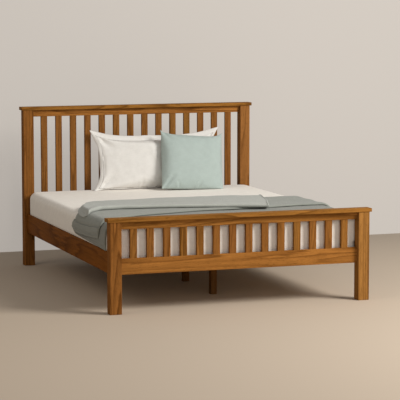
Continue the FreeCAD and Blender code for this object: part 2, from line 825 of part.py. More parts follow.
def leaning(lean, offset, along, level):
    """Stand a cover up, lean it back towards the head end and put its foot in place."""
    stand = FreeCAD.Rotation(FreeCAD.Vector(1, 0, 0), 90 - lean)
    return FreeCAD.Placement(FreeCAD.Vector(offset, along, level), stand)


def pillow_shape():
    """A long pillow with a flat flange all round."""
    width, height = number("pillow_width"), number("pillow_height")
    draw, flange = number("pillow_draw"), number("pillow_flange")
    thin = number("pillow_flange_thickness")
    border = drawn_in_square(width, height, draw, 0, -thin / 2)
    sheet_shape = Part.Face(border).extrude(FreeCAD.Vector(0, 0, thin))
    filling = stuffed_shape(width, height, number("pillow_thickness"), draw,
                            number("pillow_crown"), flange)
    return sheet_shape.fuse(filling).removeSplitter()


pillow_lean = number("pillow_lean")
pillow_solid = pillow_shape()
pillow_placement = leaning(pillow_lean, number("pillow_offset"), 0, 0)
pillow_trial = pillow_solid.copy()
pillow_trial.Placement = pillow_placement
pillow_box = pillow_trial.BoundBox
pillow_placement.Base.y = (number(HEAD_RAIL_FRONT) - number("pillow_clearance")
                           - pillow_box.YMax)
pillow_placement.Base.z = number(f"{MATTRESS_TOP} + rest_gap") - pillow_box.ZMin
plain_feature("pillow", pillow_solid, pillow_placement)

cushion_solid = stuffed_shape(number("cushion_width"), number("cushion_height"),
                              number("cushion_thickness"), number("cushion_draw"),
                              number("cushion_crown"), 0)
cushion_placement = leaning(number("cushion_lean"), number("cushion_offset"), 0, 0)
cushion_trial = cushion_solid.copy()
cushion_trial.Placement = cushion_placement
cushion_placement.Base.z = (number(f"{MATTRESS_TOP} + rest_gap")
                            - cushion_trial.BoundBox.ZMin)
plain_feature("cushion", cushion_solid, cushion_placement)


# ------------------------------------------------------------------------ folded throw

def leaf_band(outer, inner, start, finish, radius):
    """A leaf of folded cloth: its closed profile run along Y, its upper rims rounded.

    outer holds the profile's edges on the upper side, inner all its others, and both lie
    at y = start.
    """
    band = Part.Face(Part.Wire(outer + inner)).extrude(FreeCAD.Vector(0, finish - start, 0))
    middles = [edge.CenterOfMass + FreeCAD.Vector(0, along, 0)
               for edge in outer for along in (0, finish - start)]
    rims = [edge for edge in band.Edges
            if any(edge.CenterOfMass.distanceToPoint(point) < TOLERANCE for point in middles)]
    return band.makeFillet(radius, rims)


def bend_point(side, radius, degrees, along):
    """A point of a leaf's bend over one upper edge of the mattress, degrees from the top."""
    edge = number("mattress_edge_radius")
    half = number(f"{MATTRESS_WIDTH} / 2") - edge
    angle = math.radians(degrees)
    return FreeCAD.Vector(side * (half + radius * math.sin(angle)), along,
                          number(MATTRESS_TOP) - edge + radius * math.cos(angle))


def bend(side, radius, degrees, along):
    """A leaf's bend over one upper edge of the mattress, from the top outwards."""
    return [bend_point(side, radius, turn, along) for turn in (0, degrees / 2, degrees)]


def long_leaf(lift, start, finish, left_drop, right_drop):
    """One leaf that hangs over both sides: lift is its underside above the mattress."""
    inside = number("mattress_edge_radius") + lift
    outside = inside + number("throw_leaf")
    faces = []
    for radius in (outside, inside):
        left, right = bend(-1, radius, 90, start), bend(1, radius, 90, start)
        left_hem = FreeCAD.Vector(left[2].x, start, number(MATTRESS_TOP) - left_drop)
        right_hem = FreeCAD.Vector(right[2].x, start, number(MATTRESS_TOP) - right_drop)
        chain = [line(left_hem, left[2]), arc_through(*reversed(left)), line(left[0], right[0]),
                 arc_through(*right), line(right[2], right_hem)]
        faces.append((left_hem, right_hem, chain))
    (outer_left, outer_right, outer), (inner_left, inner_right, inner) = faces
    closing = [line(outer_right, inner_right), *reversed(inner), line(inner_left, outer_left)]
    return leaf_band(outer, closing, start, finish, number("throw_leaf_round"))


def short_leaf(lift, start, finish):
    """The upper leaf: it lies flat on the others and turns a little over the left edge."""
    inside = number("mattress_edge_radius") + lift
    outside = inside + number("throw_top_leaf")
    reach, wrap = number("throw_top_reach"), number("throw_top_wrap")
    upper = bend(-1, outside, wrap, start)
    lower = bend(-1, inside, wrap, start)
    upper_end = FreeCAD.Vector(reach, start, upper[0].z)
    lower_end = FreeCAD.Vector(reach, start, lower[0].z)
    outer = [arc_through(*reversed(upper)), line(upper[0], upper_end)]
    closing = [line(upper_end, lower_end), line(lower_end, lower[0]), arc_through(*lower),
               line(lower[2], upper[2])]
    return leaf_band(outer, closing, start, finish, number("throw_top_round"))


def corner_cutter(back):
    """A slab behind the slanted plane where the throw's hind left corner ends.

    back is the leaves' hind fold. The plane's trace runs forward over the mattress's left
    edge and then back down the drop to its hem.
    """
    side = number(f"-{MATTRESS_WIDTH} / 2 - throw_leaf")
    top = number(MATTRESS_TOP)
    start = FreeCAD.Vector(number(f"-{MATTRESS_WIDTH} / 2 + throw_corner_reach"), back,
                           top + 2 * number("throw_leaf"))
    edge = FreeCAD.Vector(side, back - number("throw_corner_run"), top)
    hem = FreeCAD.Vector(side, back - number("throw_drop_setback"),
                         top - number("throw_left_drop"))
    forward, downward = edge - start, hem - start
    corners = [start - forward - downward, start + forward * 2 - downward,
               start + forward * 2 + downward * 2, start - forward + downward * 2]
    away = downward.cross(forward).normalize() * number(MATTRESS_WIDTH)
    return Part.Face(Part.makePolygon(corners + corners[:1])).extrude(away)


def throw_shape():
    """Three leaves of one folded throw, laid on and pressed a little into each other."""
    leaf = number("throw_leaf")
    gap, press = number("rest_gap"), number("throw_press")
    left_drop, right_drop = number("throw_left_drop"), number("throw_right_drop")
    front = number(f"throw_foot_gap - {MATTRESS_LENGTH} / 2")
    back = front + number("throw_width")
    lower = long_leaf(gap, front, back, left_drop, right_drop)
    middle = long_leaf(gap + leaf - press, back - number("throw_middle_width"), back + leaf,
                       number("throw_middle_drop"), right_drop - leaf)
    top_back = back - number("throw_fold_setback")
    upper = short_leaf(gap + 2 * (leaf - press), top_back - number("throw_top_width"), top_back)
    return lower.fuse([middle, upper]).cut(corner_cutter(back))


plain_feature("throw", throw_shape())


# -------------------------------------------------------------------- check and write

def settle_cushion():
    """Slide the cushion back along the mattress until it is just clear of the pillow."""
    cushion = doc.getObject("cushion")
    pillow = doc.getObject("pillow").Shape
    clearance = number("cushion_clearance")
    near, far = -number(f"{MATTRESS_LENGTH} / 2"), number(f"{MATTRESS_LENGTH} / 2")
    for _ in range(BISECTIONS):
        middle = (near + far) / 2
        cushion_placement.Base.y = middle
        cushion.Placement = cushion_placement
        if cushion.Shape.distToShape(pillow)[0] > clearance:
            near = middle
        else:
            far = middle
    cushion_placement.Base.y = near
    cushion.Placement = cushion_placement


def check_and_write():
    """Stop on any failed object or bad shape, then write every sub-part."""
    for item in doc.Objects:
        if "Invalid" in item.State or "Error" in item.State:
            raise RuntimeError(f"{item.Name} failed: {item.State}")
    for item in SUBPARTS:
        if item.Shape.isNull() or not item.Shape.isValid() or not item.Shape.Solids:
            raise RuntimeError(f"{item.Label} has a bad shape")
    os.makedirs("parts", exist_ok=True)
    for item in SUBPARTS:
        item.Shape.exportStep(os.path.join("parts", f"{item.Label}.step"))
    print(len(SUBPARTS), "sub-parts,", sum(len(item.Shape.Solids) for item in SUBPARTS), "solids")


doc.recompute()
settle_cushion()
doc.recompute()
check_and_write()
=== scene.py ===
"""The looks of a slatted oak bed and its bedding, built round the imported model.

Every length is in metres, in the model's own frame: -Y is the foot end, +X is to the right
seen from the foot end, and z = 0 is the floor. The wooden and steel nodes of the model are
kept and get their finishes here. The mattress, the pillow, the cushion and the folded throw
are made new in mesh code, and the pillow and the cushion are blown up by cloth simulation.
"""

from __future__ import annotations

import json
import logging
import math
from dataclasses import dataclass, field
from enum import Enum

import bpy
import numpy as np
from mathutils import Matrix, Vector, noise

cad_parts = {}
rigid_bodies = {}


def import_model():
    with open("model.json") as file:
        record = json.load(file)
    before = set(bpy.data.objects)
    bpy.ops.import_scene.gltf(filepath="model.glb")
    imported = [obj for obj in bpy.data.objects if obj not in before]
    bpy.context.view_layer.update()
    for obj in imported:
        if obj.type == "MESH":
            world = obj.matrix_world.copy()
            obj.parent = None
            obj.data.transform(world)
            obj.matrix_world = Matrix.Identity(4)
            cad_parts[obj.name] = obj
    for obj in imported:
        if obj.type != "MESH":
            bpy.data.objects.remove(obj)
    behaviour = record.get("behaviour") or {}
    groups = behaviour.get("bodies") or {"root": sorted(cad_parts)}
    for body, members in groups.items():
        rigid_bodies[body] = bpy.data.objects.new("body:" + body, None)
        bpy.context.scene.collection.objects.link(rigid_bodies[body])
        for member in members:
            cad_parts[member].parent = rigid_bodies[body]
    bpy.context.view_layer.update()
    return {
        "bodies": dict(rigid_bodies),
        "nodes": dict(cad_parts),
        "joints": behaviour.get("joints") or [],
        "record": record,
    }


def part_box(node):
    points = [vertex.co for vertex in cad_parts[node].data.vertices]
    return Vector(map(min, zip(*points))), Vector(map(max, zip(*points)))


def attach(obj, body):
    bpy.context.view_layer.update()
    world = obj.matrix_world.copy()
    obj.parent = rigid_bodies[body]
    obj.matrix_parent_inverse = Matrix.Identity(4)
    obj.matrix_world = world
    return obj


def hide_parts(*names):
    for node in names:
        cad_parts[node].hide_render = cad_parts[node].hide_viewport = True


log = logging.getLogger("slatted_bed")

SOFT_NODES = ("mattress", "pillow", "cushion", "throw")
Colour = tuple[float, float, float, float]
Tone = tuple[float, float, float]
Line = tuple[tuple[float, float], ...]
NodeTree = bpy.types.NodeTree
Socket = bpy.types.NodeSocket

PLAIN: Tone = (1.0, 1.0, 1.0)
PORE_COLOUR: Colour = (0.035, 0.012, 0.003, 1.0)
UPRIGHT_RINGS = 1.7  # upright boards are narrow and show finer rings

class Grain(Enum):
    """The way a board's grain runs, with the stretch of its texture along each axis."""

    ACROSS = (0.07, 1.0, 1.0)
    ALONG = (1.0, 0.07, 1.0)
    UP = (1.0, 1.0, 0.07)


class Slot(Enum):
    """The material slots of the model's record."""

    OAK = "oak"
    PINE = "pine"
    STEEL = "steel"
    WEBBING = "webbing"
    SHEET = "cream_sheet"
    PILLOW = "white_cotton"
    CUSHION = "sage_cotton"
    THROW = "throw_cotton"


# ------------------------------------------------------------------------ node helpers


@dataclass
class Nodes:
    """A thin writer of shader nodes in one tree."""

    tree: NodeTree

    def add(self, kind: str, inputs: dict | None = None, **settings: object) -> bpy.types.Node:
        """Add a node, set its properties, and feed its inputs from values or sockets.

        Args:
            kind: the node's type name, such as ShaderNodeTexNoise.
            inputs: an input's name or index, and a value or the socket to link to it.
            **settings: properties of the node itself.

        Returns:
            The new node.
        """
        node = self.tree.nodes.new(kind)
        for key, setting in settings.items():
            setattr(node, key, setting)
        for key, given in (inputs or {}).items():
            if isinstance(given, bpy.types.NodeSocket):
                self.tree.links.new(given, node.inputs[key])
            else:
                node.inputs[key].default_value = given
        return node

    def math(self, operation: str, first: Socket | float, second: Socket | float = 0.0,
             clamp: bool = False) -> Socket:
        """One step of arithmetic.

        Args:
            operation: the Math node's operation.
            first: the left side.
            second: the right side.
            clamp: keep the result between 0 and 1.

        Returns:
            The result's socket.
        """
        node = self.add("ShaderNodeMath", {0: first, 1: second}, operation=operation,
                        use_clamp=clamp)
        return node.outputs[0]

    def blend(self, share: Socket | float, first: Socket | Colour, second: Socket | Colour,
              how: str = "MIX") -> Socket:
        """Mix two colours.

        Args:
            share: how much of the second shows.
            first: the colour underneath.
            second: the colour on top.
            how: the blend mode.

        Returns:
            The mixed colour's socket.
        """
        node = self.add("ShaderNodeMix", {0: share, 6: first, 7: second}, data_type="RGBA",
                        blend_type=how)
        return node.outputs[2]

    def ramp(self, factor: Socket, stops: tuple[tuple[float, float], ...]) -> Socket:
        """A grey ramp.

        Args:
            factor: what runs along the ramp.
            stops: each stop's place and grey level.

        Returns:
            The ramp's colour socket.
        """
        node = self.add("ShaderNodeValToRGB", {0: factor})
        for place, _ in stops[2:]:
            node.color_ramp.elements.new(place)
        for element, (place, level) in zip(node.color_ramp.elements, stops):
            element.position = place
            element.color = (level, level, level, 1.0)
        return node.outputs[0]


def new_group(name: str, takes: dict[str, tuple[str, object]],
              gives: dict[str, str]) -> tuple[NodeTree, bpy.types.Node, bpy.types.Node]:
    """Start a shader node group with named inputs and outputs.

    Args:
        name: the group's name.
        takes: each input's name with its socket type and default.
        gives: each output's name with its socket type.

    Returns:
        The group with its input node and its output node.
    """
    group = bpy.data.node_groups.new(name, "ShaderNodeTree")
    for label, (kind, default) in takes.items():
        socket = group.interface.new_socket(label, in_out="INPUT", socket_type=kind)
        if default is not None:
            socket.default_value = default
    for label, kind in gives.items():
        group.interface.new_socket(label, in_out="OUTPUT", socket_type=kind)
    return group, group.nodes.new("NodeGroupInput"), group.nodes.new("NodeGroupOutput")


def oak_grain_group() -> NodeTree:
    """Growth rings, pores and board-to-board colour of a sawn board.

    Returns:
        The node group. It gives the board's colour, its roughness and its relief.
    """
    group, given, result = new_group(
        "board grain",
        {"Vector": ("NodeSocketVector", None), "Board": ("NodeSocketFloat", 0.0),
         "Early wood": ("NodeSocketColor", (0.4, 0.15, 0.03, 1)),
         "Late wood": ("NodeSocketColor", (0.2, 0.07, 0.01, 1)),
         "Rings": ("NodeSocketFloat", 7.0), "Pores": ("NodeSocketFloat", 0.5),
         "Sheen level": ("NodeSocketFloat", 0.4)},
        {"Color": "NodeSocketColor", "Roughness": "NodeSocketFloat", "Height": "NodeSocketFloat"})
    nodes = Nodes(group)
    stretched = given.outputs["Vector"]
    swirl = nodes.add("ShaderNodeTexNoise", {"Vector": stretched, "Scale": 9.0, "Detail": 1.5,
                                             "Roughness": 0.4, "Distortion": 0.35})
    fine = nodes.add("ShaderNodeTexNoise", {"Vector": stretched, "Scale": 95.0, "Detail": 3.0,
                                            "Roughness": 0.65})
    wander = nodes.math("MULTIPLY", fine.outputs["Fac"], 0.55)
    level = nodes.math("MULTIPLY", swirl.outputs["Fac"], given.outputs["Rings"])
    ring = nodes.math("FRACT", nodes.math("ADD", level, wander))
    late = nodes.ramp(ring, ((0.0, 0.08), (0.12, 0.0), (0.62, 0.35), (0.88, 1.0), (1.0, 0.2)))
    mottle = nodes.add("ShaderNodeTexNoise", {"Vector": stretched, "Scale": 6.0, "Detail": 2.0})
    patch = nodes.ramp(mottle.outputs["Fac"], ((0.35, 0.55), (0.65, 1.0)))
    share = nodes.math("MULTIPLY", late, patch, clamp=True)
    wood = nodes.blend(share, given.outputs["Early wood"], given.outputs["Late wood"])
    streak = nodes.ramp(fine.outputs["Fac"], ((0.3, 0.64), (0.7, 1.24)))
    wood = nodes.blend(0.6, wood, streak, "MULTIPLY")
    broad = nodes.ramp(mottle.outputs["Fac"], ((0.3, 0.93), (0.7, 1.07)))
    wood = nodes.blend(0.8, wood, broad, "MULTIPLY")
    pore_noise = nodes.add("ShaderNodeTexNoise", {"Vector": stretched, "Scale": 460.0,
                                                  "Detail": 2.0, "Roughness": 0.6})
    pores = nodes.ramp(pore_noise.outputs["Fac"], ((0.57, 0.0), (0.68, 1.0)))
    pore_share = nodes.math("MULTIPLY", pores, given.outputs["Pores"], clamp=True)
    wood = nodes.blend(pore_share, wood, PORE_COLOUR)
    shade = nodes.math("ADD", nodes.math("MULTIPLY", given.outputs["Board"], 0.10), 0.95)
    tone = nodes.add("ShaderNodeHueSaturation", {"Color": wood, "Value": shade})
    warm = nodes.math("ADD", nodes.math("MULTIPLY", given.outputs["Board"], 0.010), 0.495)
    group.links.new(warm, tone.inputs["Hue"])
    rough = nodes.math("ADD", given.outputs["Sheen level"],
                       nodes.math("MULTIPLY", pore_share, 0.25), clamp=True)
    height = nodes.math("SUBTRACT", nodes.math("MULTIPLY", late, 0.3), pore_share)
    for label, socket in (("Color", tone.outputs[0]), ("Roughness", rough), ("Height", height)):
        group.links.new(socket, result.inputs[label])
    return group


def weave_group() -> NodeTree:
    """Crossed threads of a plain weave with slubs, and the unevenness of washed cloth.

    Returns:
        The node group. It gives a relief and a mask of the thread valleys.
    """
    group, given, result = new_group(
        "plain weave",
        {"Vector": ("NodeSocketVector", None), "Threads": ("NodeSocketFloat", 300.0),
         "Slub": ("NodeSocketFloat", 0.4), "Crumple": ("NodeSocketFloat", 1.0)},
        {"Height": "NodeSocketFloat", "Valleys": "NodeSocketFloat", "Cloud": "NodeSocketFloat"})
    nodes = Nodes(group)
    wobble = nodes.add("ShaderNodeTexNoise", {"Vector": given.outputs["Vector"], "Scale": 24.0,
                                              "Detail": 2.0})
    waves = []
    for axis in ("X", "Y"):
        wave = nodes.add("ShaderNodeTexWave", {"Vector": given.outputs["Vector"],
                                               "Scale": given.outputs["Threads"],
                                               "Distortion": 1.2, "Detail": 1.0},
                         wave_type="BANDS", bands_direction=axis, wave_profile="SIN")
        waves.append(wave.outputs["Fac"])
    threads = nodes.math("MULTIPLY", waves[0], waves[1])
    long_slub = nodes.add("ShaderNodeMapping", {"Vector": given.outputs["Vector"],
                                                "Scale": (18.0, 420.0, 60.0)})
    slub = nodes.add("ShaderNodeTexNoise", {"Vector": long_slub.outputs[0], "Scale": 1.0,
                                            "Detail": 2.0})
    slubs = nodes.math("MULTIPLY", slub.outputs["Fac"], given.outputs["Slub"])
    crumple = nodes.add("ShaderNodeTexNoise", {"Vector": given.outputs["Vector"], "Scale": 13.0,
                                               "Detail": 5.0, "Roughness": 0.6,
                                               "Distortion": 0.6})
    soft = nodes.math("MULTIPLY", crumple.outputs["Fac"], given.outputs["Crumple"])
    woven = nodes.math("ADD", nodes.math("MULTIPLY", threads, 0.12), slubs)
    height = nodes.math("ADD", woven, soft)
    cloud = nodes.math("ADD", nodes.math("MULTIPLY", wobble.outputs["Fac"], 0.5),
                       nodes.math("MULTIPLY", slub.outputs["Fac"], 0.5))
    valleys = nodes.math("SUBTRACT", 1.0, threads, clamp=True)
    for label, socket in (("Height", height), ("Valleys", valleys), ("Cloud", cloud)):
        group.links.new(socket, result.inputs[label])
    return group


# ---------------------------------------------------------------------------- finishes


@dataclass(frozen=True)
class BoardFinish:
    """A lacquered or plain sawn board."""

    name: str
    early: Colour
    late: Colour
    rings: float = 8.0
    pores: float = 0.5
    sheen_level: float = 0.42
    shine: float = 0.004
    relief: float = 0.35

    def material(self, grain: Grain, group: NodeTree,
                 tone: Tone = PLAIN) -> bpy.types.Material:
        """The finish on boards whose grain runs one way.

        Args:
            grain: the way the grain runs.
            group: the shared board grain group.
            tone: how much lighter or darker these boards are painted beside the others, as painted
                light and shade in red, green and blue.

        Returns:
            The material.
        """
        made = bpy.data.materials.new(f"{self.name} {grain.name.lower()}")
        made.use_nodes = True
        nodes = Nodes(made.node_tree)
        shader = made.node_tree.nodes["Principled BSDF"]
        place = nodes.add("ShaderNodeTexCoord")
        board = nodes.add("ShaderNodeObjectInfo")
        shift = nodes.add("ShaderNodeVectorMath", {0: (7.1, 5.3, 3.7)}, operation="SCALE")
        made.node_tree.links.new(board.outputs["Random"], shift.inputs["Scale"])
        moved = nodes.add("ShaderNodeVectorMath", {0: place.outputs["Object"],
                                                   1: shift.outputs[0]}, operation="ADD")
        stretched = nodes.add("ShaderNodeVectorMath", {0: moved.outputs[0], 1: grain.value},
                              operation="MULTIPLY")
        wood = nodes.add("ShaderNodeGroup", node_tree=group)
        for label, given in (("Vector", stretched.outputs[0]), ("Board", board.outputs["Random"])):
            made.node_tree.links.new(given, wood.inputs[label])
        # the tone paints light and shade into the early and late wood colours
        early, late = (tuple(part * share for part, share in zip(colour, tone)) + (1.0,)
                       for colour in (self.early, self.late))
        for label, given in (("Early wood", early), ("Late wood", late),
                             ("Rings", self.rings * (UPRIGHT_RINGS if grain is Grain.UP else 1.0)),
                             ("Pores", self.pores),
                             ("Sheen level", self.sheen_level)):
            wood.inputs[label].default_value = given
        bump = nodes.add("ShaderNodeBump", {"Height": wood.outputs["Height"],
                                            "Strength": self.relief, "Distance": 0.0006})
        for label, given in (("Base Color", wood.outputs["Color"]),
                             ("Roughness", wood.outputs["Roughness"]),
                             ("Normal", bump.outputs[0])):
            made.node_tree.links.new(given, shader.inputs[label])
        shader.inputs["Specular IOR Level"].default_value = self.shine
        return made


@dataclass(frozen=True)
class ClothFinish:
    """A woven cloth."""

    name: str
    colour: Colour
    # shade is the colour painted into the thread valleys, a painted shade
    shade: Colour
    threads: float = 300.0
    slub: float = 0.4
    crumple: float = 1.0
    relief: float = 0.5
    depth: float = 0.002
    roughness: float = 0.85
    sheen: float = 0.15

    def material(self, group: NodeTree) -> bpy.types.Material:
        """The cloth's material.

        Args:
            group: the shared plain weave group.

        Returns:
            The material.
        """
        made = bpy.data.materials.new(self.name)
        made.use_nodes = True
        nodes = Nodes(made.node_tree)
        shader = made.node_tree.nodes["Principled BSDF"]
        place = nodes.add("ShaderNodeTexCoord")
        weave = nodes.add("ShaderNodeGroup", {"Vector": place.outputs["UV"]}, node_tree=group)
        for label, given in (("Threads", self.threads), ("Slub", self.slub),
                             ("Crumple", self.crumple)):
            weave.inputs[label].default_value = given
        # painted shade: the thread valleys are tinted towards the shade colour
        valley = nodes.math("MULTIPLY", weave.outputs["Valleys"], 0.35)
        tint = nodes.blend(valley, self.colour, self.shade)
        clouded = nodes.ramp(weave.outputs["Cloud"], ((0.3, 0.93), (0.7, 1.05)))
        tint = nodes.blend(1.0, tint, clouded, "MULTIPLY")
        bump = nodes.add("ShaderNodeBump", {"Height": weave.outputs["Height"],
                                            "Strength": self.relief, "Distance": self.depth})
        for label, given in (("Base Color", tint), ("Normal", bump.outputs[0])):
            made.node_tree.links.new(given, shader.inputs[label])
        shader.inputs["Roughness"].default_value = self.roughness
        shader.inputs["Sheen Weight"].default_value = self.sheen
        shader.inputs["Sheen Roughness"].default_value = 0.5
        return made


@dataclass(frozen=True)
class MetalFinish:
    """Zinc-plated steel with a slightly patchy surface."""

    name: str = "zinc steel"
    colour: Colour = (0.55, 0.56, 0.57, 1.0)

    def material(self) -> bpy.types.Material:
        """The steel's material."""
        made = bpy.data.materials.new(self.name)
        made.use_nodes = True
        nodes = Nodes(made.node_tree)
        shader = made.node_tree.nodes["Principled BSDF"]
        place = nodes.add("ShaderNodeTexCoord")
        patches = nodes.add("ShaderNodeTexVoronoi", {"Vector": place.outputs["Object"],
                                                     "Scale": 240.0})
        spangle = nodes.ramp(patches.outputs["Distance"], ((0.0, 0.8), (1.0, 1.1)))
        tint = nodes.blend(1.0, self.colour, spangle, "MULTIPLY")
        rough = nodes.math("ADD", nodes.math("MULTIPLY", patches.outputs["Distance"], 0.2), 0.32)
        made.node_tree.links.new(tint, shader.inputs["Base Color"])
        made.node_tree.links.new(rough, shader.inputs["Roughness"])
        shader.inputs["Metallic"].default_value = 1.0
        return made


@dataclass(frozen=True)
class StageFinish:
    """Plain paint of the floor or the wall; from behind it is clear.

    glow is how much of the paint's own colour it gives off, like an evenly lit backdrop.
    """

    name: str
    colour: Colour
    glow: float = 0.0

    def material(self) -> bpy.types.Material:
        """The paint's material."""
        made = bpy.data.materials.new(self.name)
        made.use_nodes = True
        nodes = Nodes(made.node_tree)
        shader = made.node_tree.nodes["Principled BSDF"]
        shader.inputs["Base Color"].default_value = self.colour
        shader.inputs["Roughness"].default_value = 0.9
        shader.inputs["Specular IOR Level"].default_value = 0.1
        shader.inputs["Emission Color"].default_value = self.colour
        shader.inputs["Emission Strength"].default_value = self.glow
        side = nodes.add("ShaderNodeNewGeometry")
        clear = nodes.add("ShaderNodeBsdfTransparent")
        mixed = nodes.add("ShaderNodeMixShader", {0: side.outputs["Backfacing"],
                                                  1: shader.outputs[0], 2: clear.outputs[0]})
        out = made.node_tree.nodes["Material Output"]
        made.node_tree.links.new(mixed.outputs[0], out.inputs["Surface"])
        return made


# ------------------------------------------------------------------------ mesh helpers


def mesh_object(name: str, points: np.ndarray, faces: list[tuple[int, ...]],
                uvs: np.ndarray | None = None) -> bpy.types.Object:
    """Make a smooth-shaded mesh object.

    Args:
        name: the piece's name.
        points: the corners, one row of x, y, z each.
        faces: each face's corner numbers.
        uvs: one u, v for each corner, in metres of flat cloth.

    Returns:
        The linked object.
    """
    mesh = bpy.data.meshes.new(name)
    mesh.from_pydata([tuple(p) for p in points], [], faces)
    if uvs is not None:
        layer = mesh.uv_layers.new(name="cloth")
        corners = np.empty(len(mesh.loops), np.int32)
        mesh.loops.foreach_get("vertex_index", corners)
        layer.data.foreach_set("uv", np.asarray(uvs, np.float32)[corners].ravel())
    mesh.shade_smooth()
    mesh.update()
    made = bpy.data.objects.new(name, mesh)
    bpy.context.scene.collection.objects.link(made)
    return made


def strip_faces(rows: int, columns: int, ring: bool = False, first: int = 0,
                turn: bool = False) -> list[tuple[int, int, int, int]]:
    """The quads between the rows of a grid of points.

    Args:
        rows: how many rows.
        columns: how many points in each row.
        ring: join the last column to the first.
        first: the number of the grid's first point.
        turn: turn the faces round.

    Returns:
        The faces.
    """
    faces = []
    for row in range(rows - 1):
        for column in range(columns if ring else columns - 1):
            near = first + row * columns + column
            side = first + row * columns + (column + 1) % columns
            quad = (near, side, side + columns, near + columns)
            faces.append(quad[::-1] if turn else quad)
    return faces


def edge_numbers(rows: int, columns: int) -> list[int]:
    """The numbers of a grid's points round its edge, in order.

    Args:
        rows: how many rows.
        columns: how many points in each row.

    Returns:
        The numbers, starting along the first row.
    """
    last_row, last_column = rows - 1, columns - 1
    return ([column for column in range(last_column)]
            + [row * columns + last_column for row in range(last_row)]
            + [last_row * columns + column for column in range(last_column, 0, -1)]
            + [row * columns for row in range(last_row, 0, -1)])


def ripple(points: np.ndarray, scale: float, depth: float, seed: float) -> np.ndarray:
    """Smooth noise at each point.

    Args:
        points: the places, one row each.
        scale: waves per metre.
        depth: the largest value.
        seed: moves the pattern.

    Returns:
        One value per point.
    """
    offset = Vector((seed, seed * 0.37, -seed))
    return np.array([noise.noise(Vector(p) * scale + offset) for p in points]) * depth


def finish_piece(piece: bpy.types.Object, material: bpy.types.Material, slot: Slot, body: str,
                 *nodes: str) -> bpy.types.Object:
    """Dress a piece and tie it to the model.

    Args:
        piece: the piece.
        material: its finish.
        slot: the record's slot that the finish stands for; it is not used.
        body: the body that it moves with.
        *nodes: the nodes of the model that it stands for.

    Returns:
        The piece.
    """
    if not piece.data.materials:
        piece.data.materials.append(material)
    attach(piece, body)
    if nodes:
        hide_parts(*nodes)
    log.info("%s: %d faces", piece.name, len(piece.data.polygons))
    return piece


def apply_modifiers(piece: bpy.types.Object) -> None:
    """Bake a piece's modifiers into its mesh."""
    graph = bpy.context.evaluated_depsgraph_get()
    baked = bpy.data.meshes.new_from_object(piece.evaluated_get(graph), depsgraph=graph)
    old = piece.data
    piece.modifiers.clear()
    piece.data = baked
    bpy.data.meshes.remove(old)


# --------------------------------------------------------------------------- wood frame


@dataclass
class WoodFrame:
    """The model's own boards and fixings, which stay and get their finishes."""

    oak: BoardFinish = BoardFinish("rustic oak", (0.318, 0.134, 0.028, 1.0),
                                   (0.146, 0.055, 0.0105, 1.0))
    pine: BoardFinish = BoardFinish("plain pine", (0.60, 0.42, 0.22, 1.0),
                                    (0.38, 0.22, 0.09, 1.0), pores=0.12, rings=6.0,
                                    sheen_level=0.6)
    steel: MetalFinish = MetalFinish()
    tape: ClothFinish = ClothFinish("slat tape", (0.72, 0.71, 0.66, 1.0),
                                    (0.5, 0.49, 0.45, 1.0))
    lengthwise: tuple[str, ...] = ("side_rail", "ledger", "centre_rail")
    upright: tuple[str, ...] = ("post", "head_slat", "foot_slat", "centre_leg")
    softwood: tuple[str, ...] = ("ledger", "centre_rail", "base_slats")
    # painted light and shade: each node's oak is made lighter or darker by how the light falls on
    # it, with painted shade on the side rails, the left posts and the legs under the bed and
    # painted light on the rails
    painted_light_tones: tuple[tuple[str, Tone], ...] = (
        ("side_rail", (0.68, 0.54, 0.42)), ("cap", (0.89, 0.88, 0.9)), ("rail", (1.13, 1.14, 1.2)),
        ("foot_slat", (0.86, 0.85, 0.95)), ("slat", (0.80, 0.80, 0.95)),
        ("post_left", (0.82, 0.78, 0.9)), ("post", (0.98, 1.02, 1.3)), ("leg", (0.5, 0.5, 0.8)))
    metal: tuple[str, ...] = ("corner_brackets", "centre_rail_hangers", "bed_bolts")

    def grain_of(self, node: str) -> Grain:
        """The way the grain runs in one node."""
        if any(word in node for word in self.upright):
            return Grain.UP
        if any(word in node for word in self.lengthwise):
            return Grain.ALONG
        return Grain.ACROSS

    def painted_light_tone_of(self, node: str) -> Tone:
        """The painted light and shade on the oak boards of one node, in red, green and blue."""
        return next((tone for word, tone in self.painted_light_tones if word in node), PLAIN)

    def dress(self, nodes: dict[str, bpy.types.Object], grain: NodeTree, weave: NodeTree) -> None:
        """Give every rigid node its finish.

        Args:
            nodes: the model's nodes.
            grain: the shared board grain group.
            weave: the shared plain weave group.
        """
        made: dict[tuple[str, Grain, Tone], bpy.types.Material] = {}
        steel = self.steel.material()
        tape = self.tape.material(weave)
        for name, piece in nodes.items():
            if name in self.metal:
                material = steel
            elif name == "slat_webbing":
                material = tape
            else:
                soft = any(word in name for word in self.softwood)
                finish = self.pine if soft else self.oak
                key = (finish.name, self.grain_of(name), PLAIN if soft else self.painted_light_tone_of(name))
                if key not in made:
                    made[key] = finish.material(key[1], grain, key[2])
                material = made[key]
            piece.data.materials.clear()
            piece.data.materials.append(material)
        log.info("dressed %d rigid nodes", len(nodes))


# ----------------------------------------------------------------------------- mattress


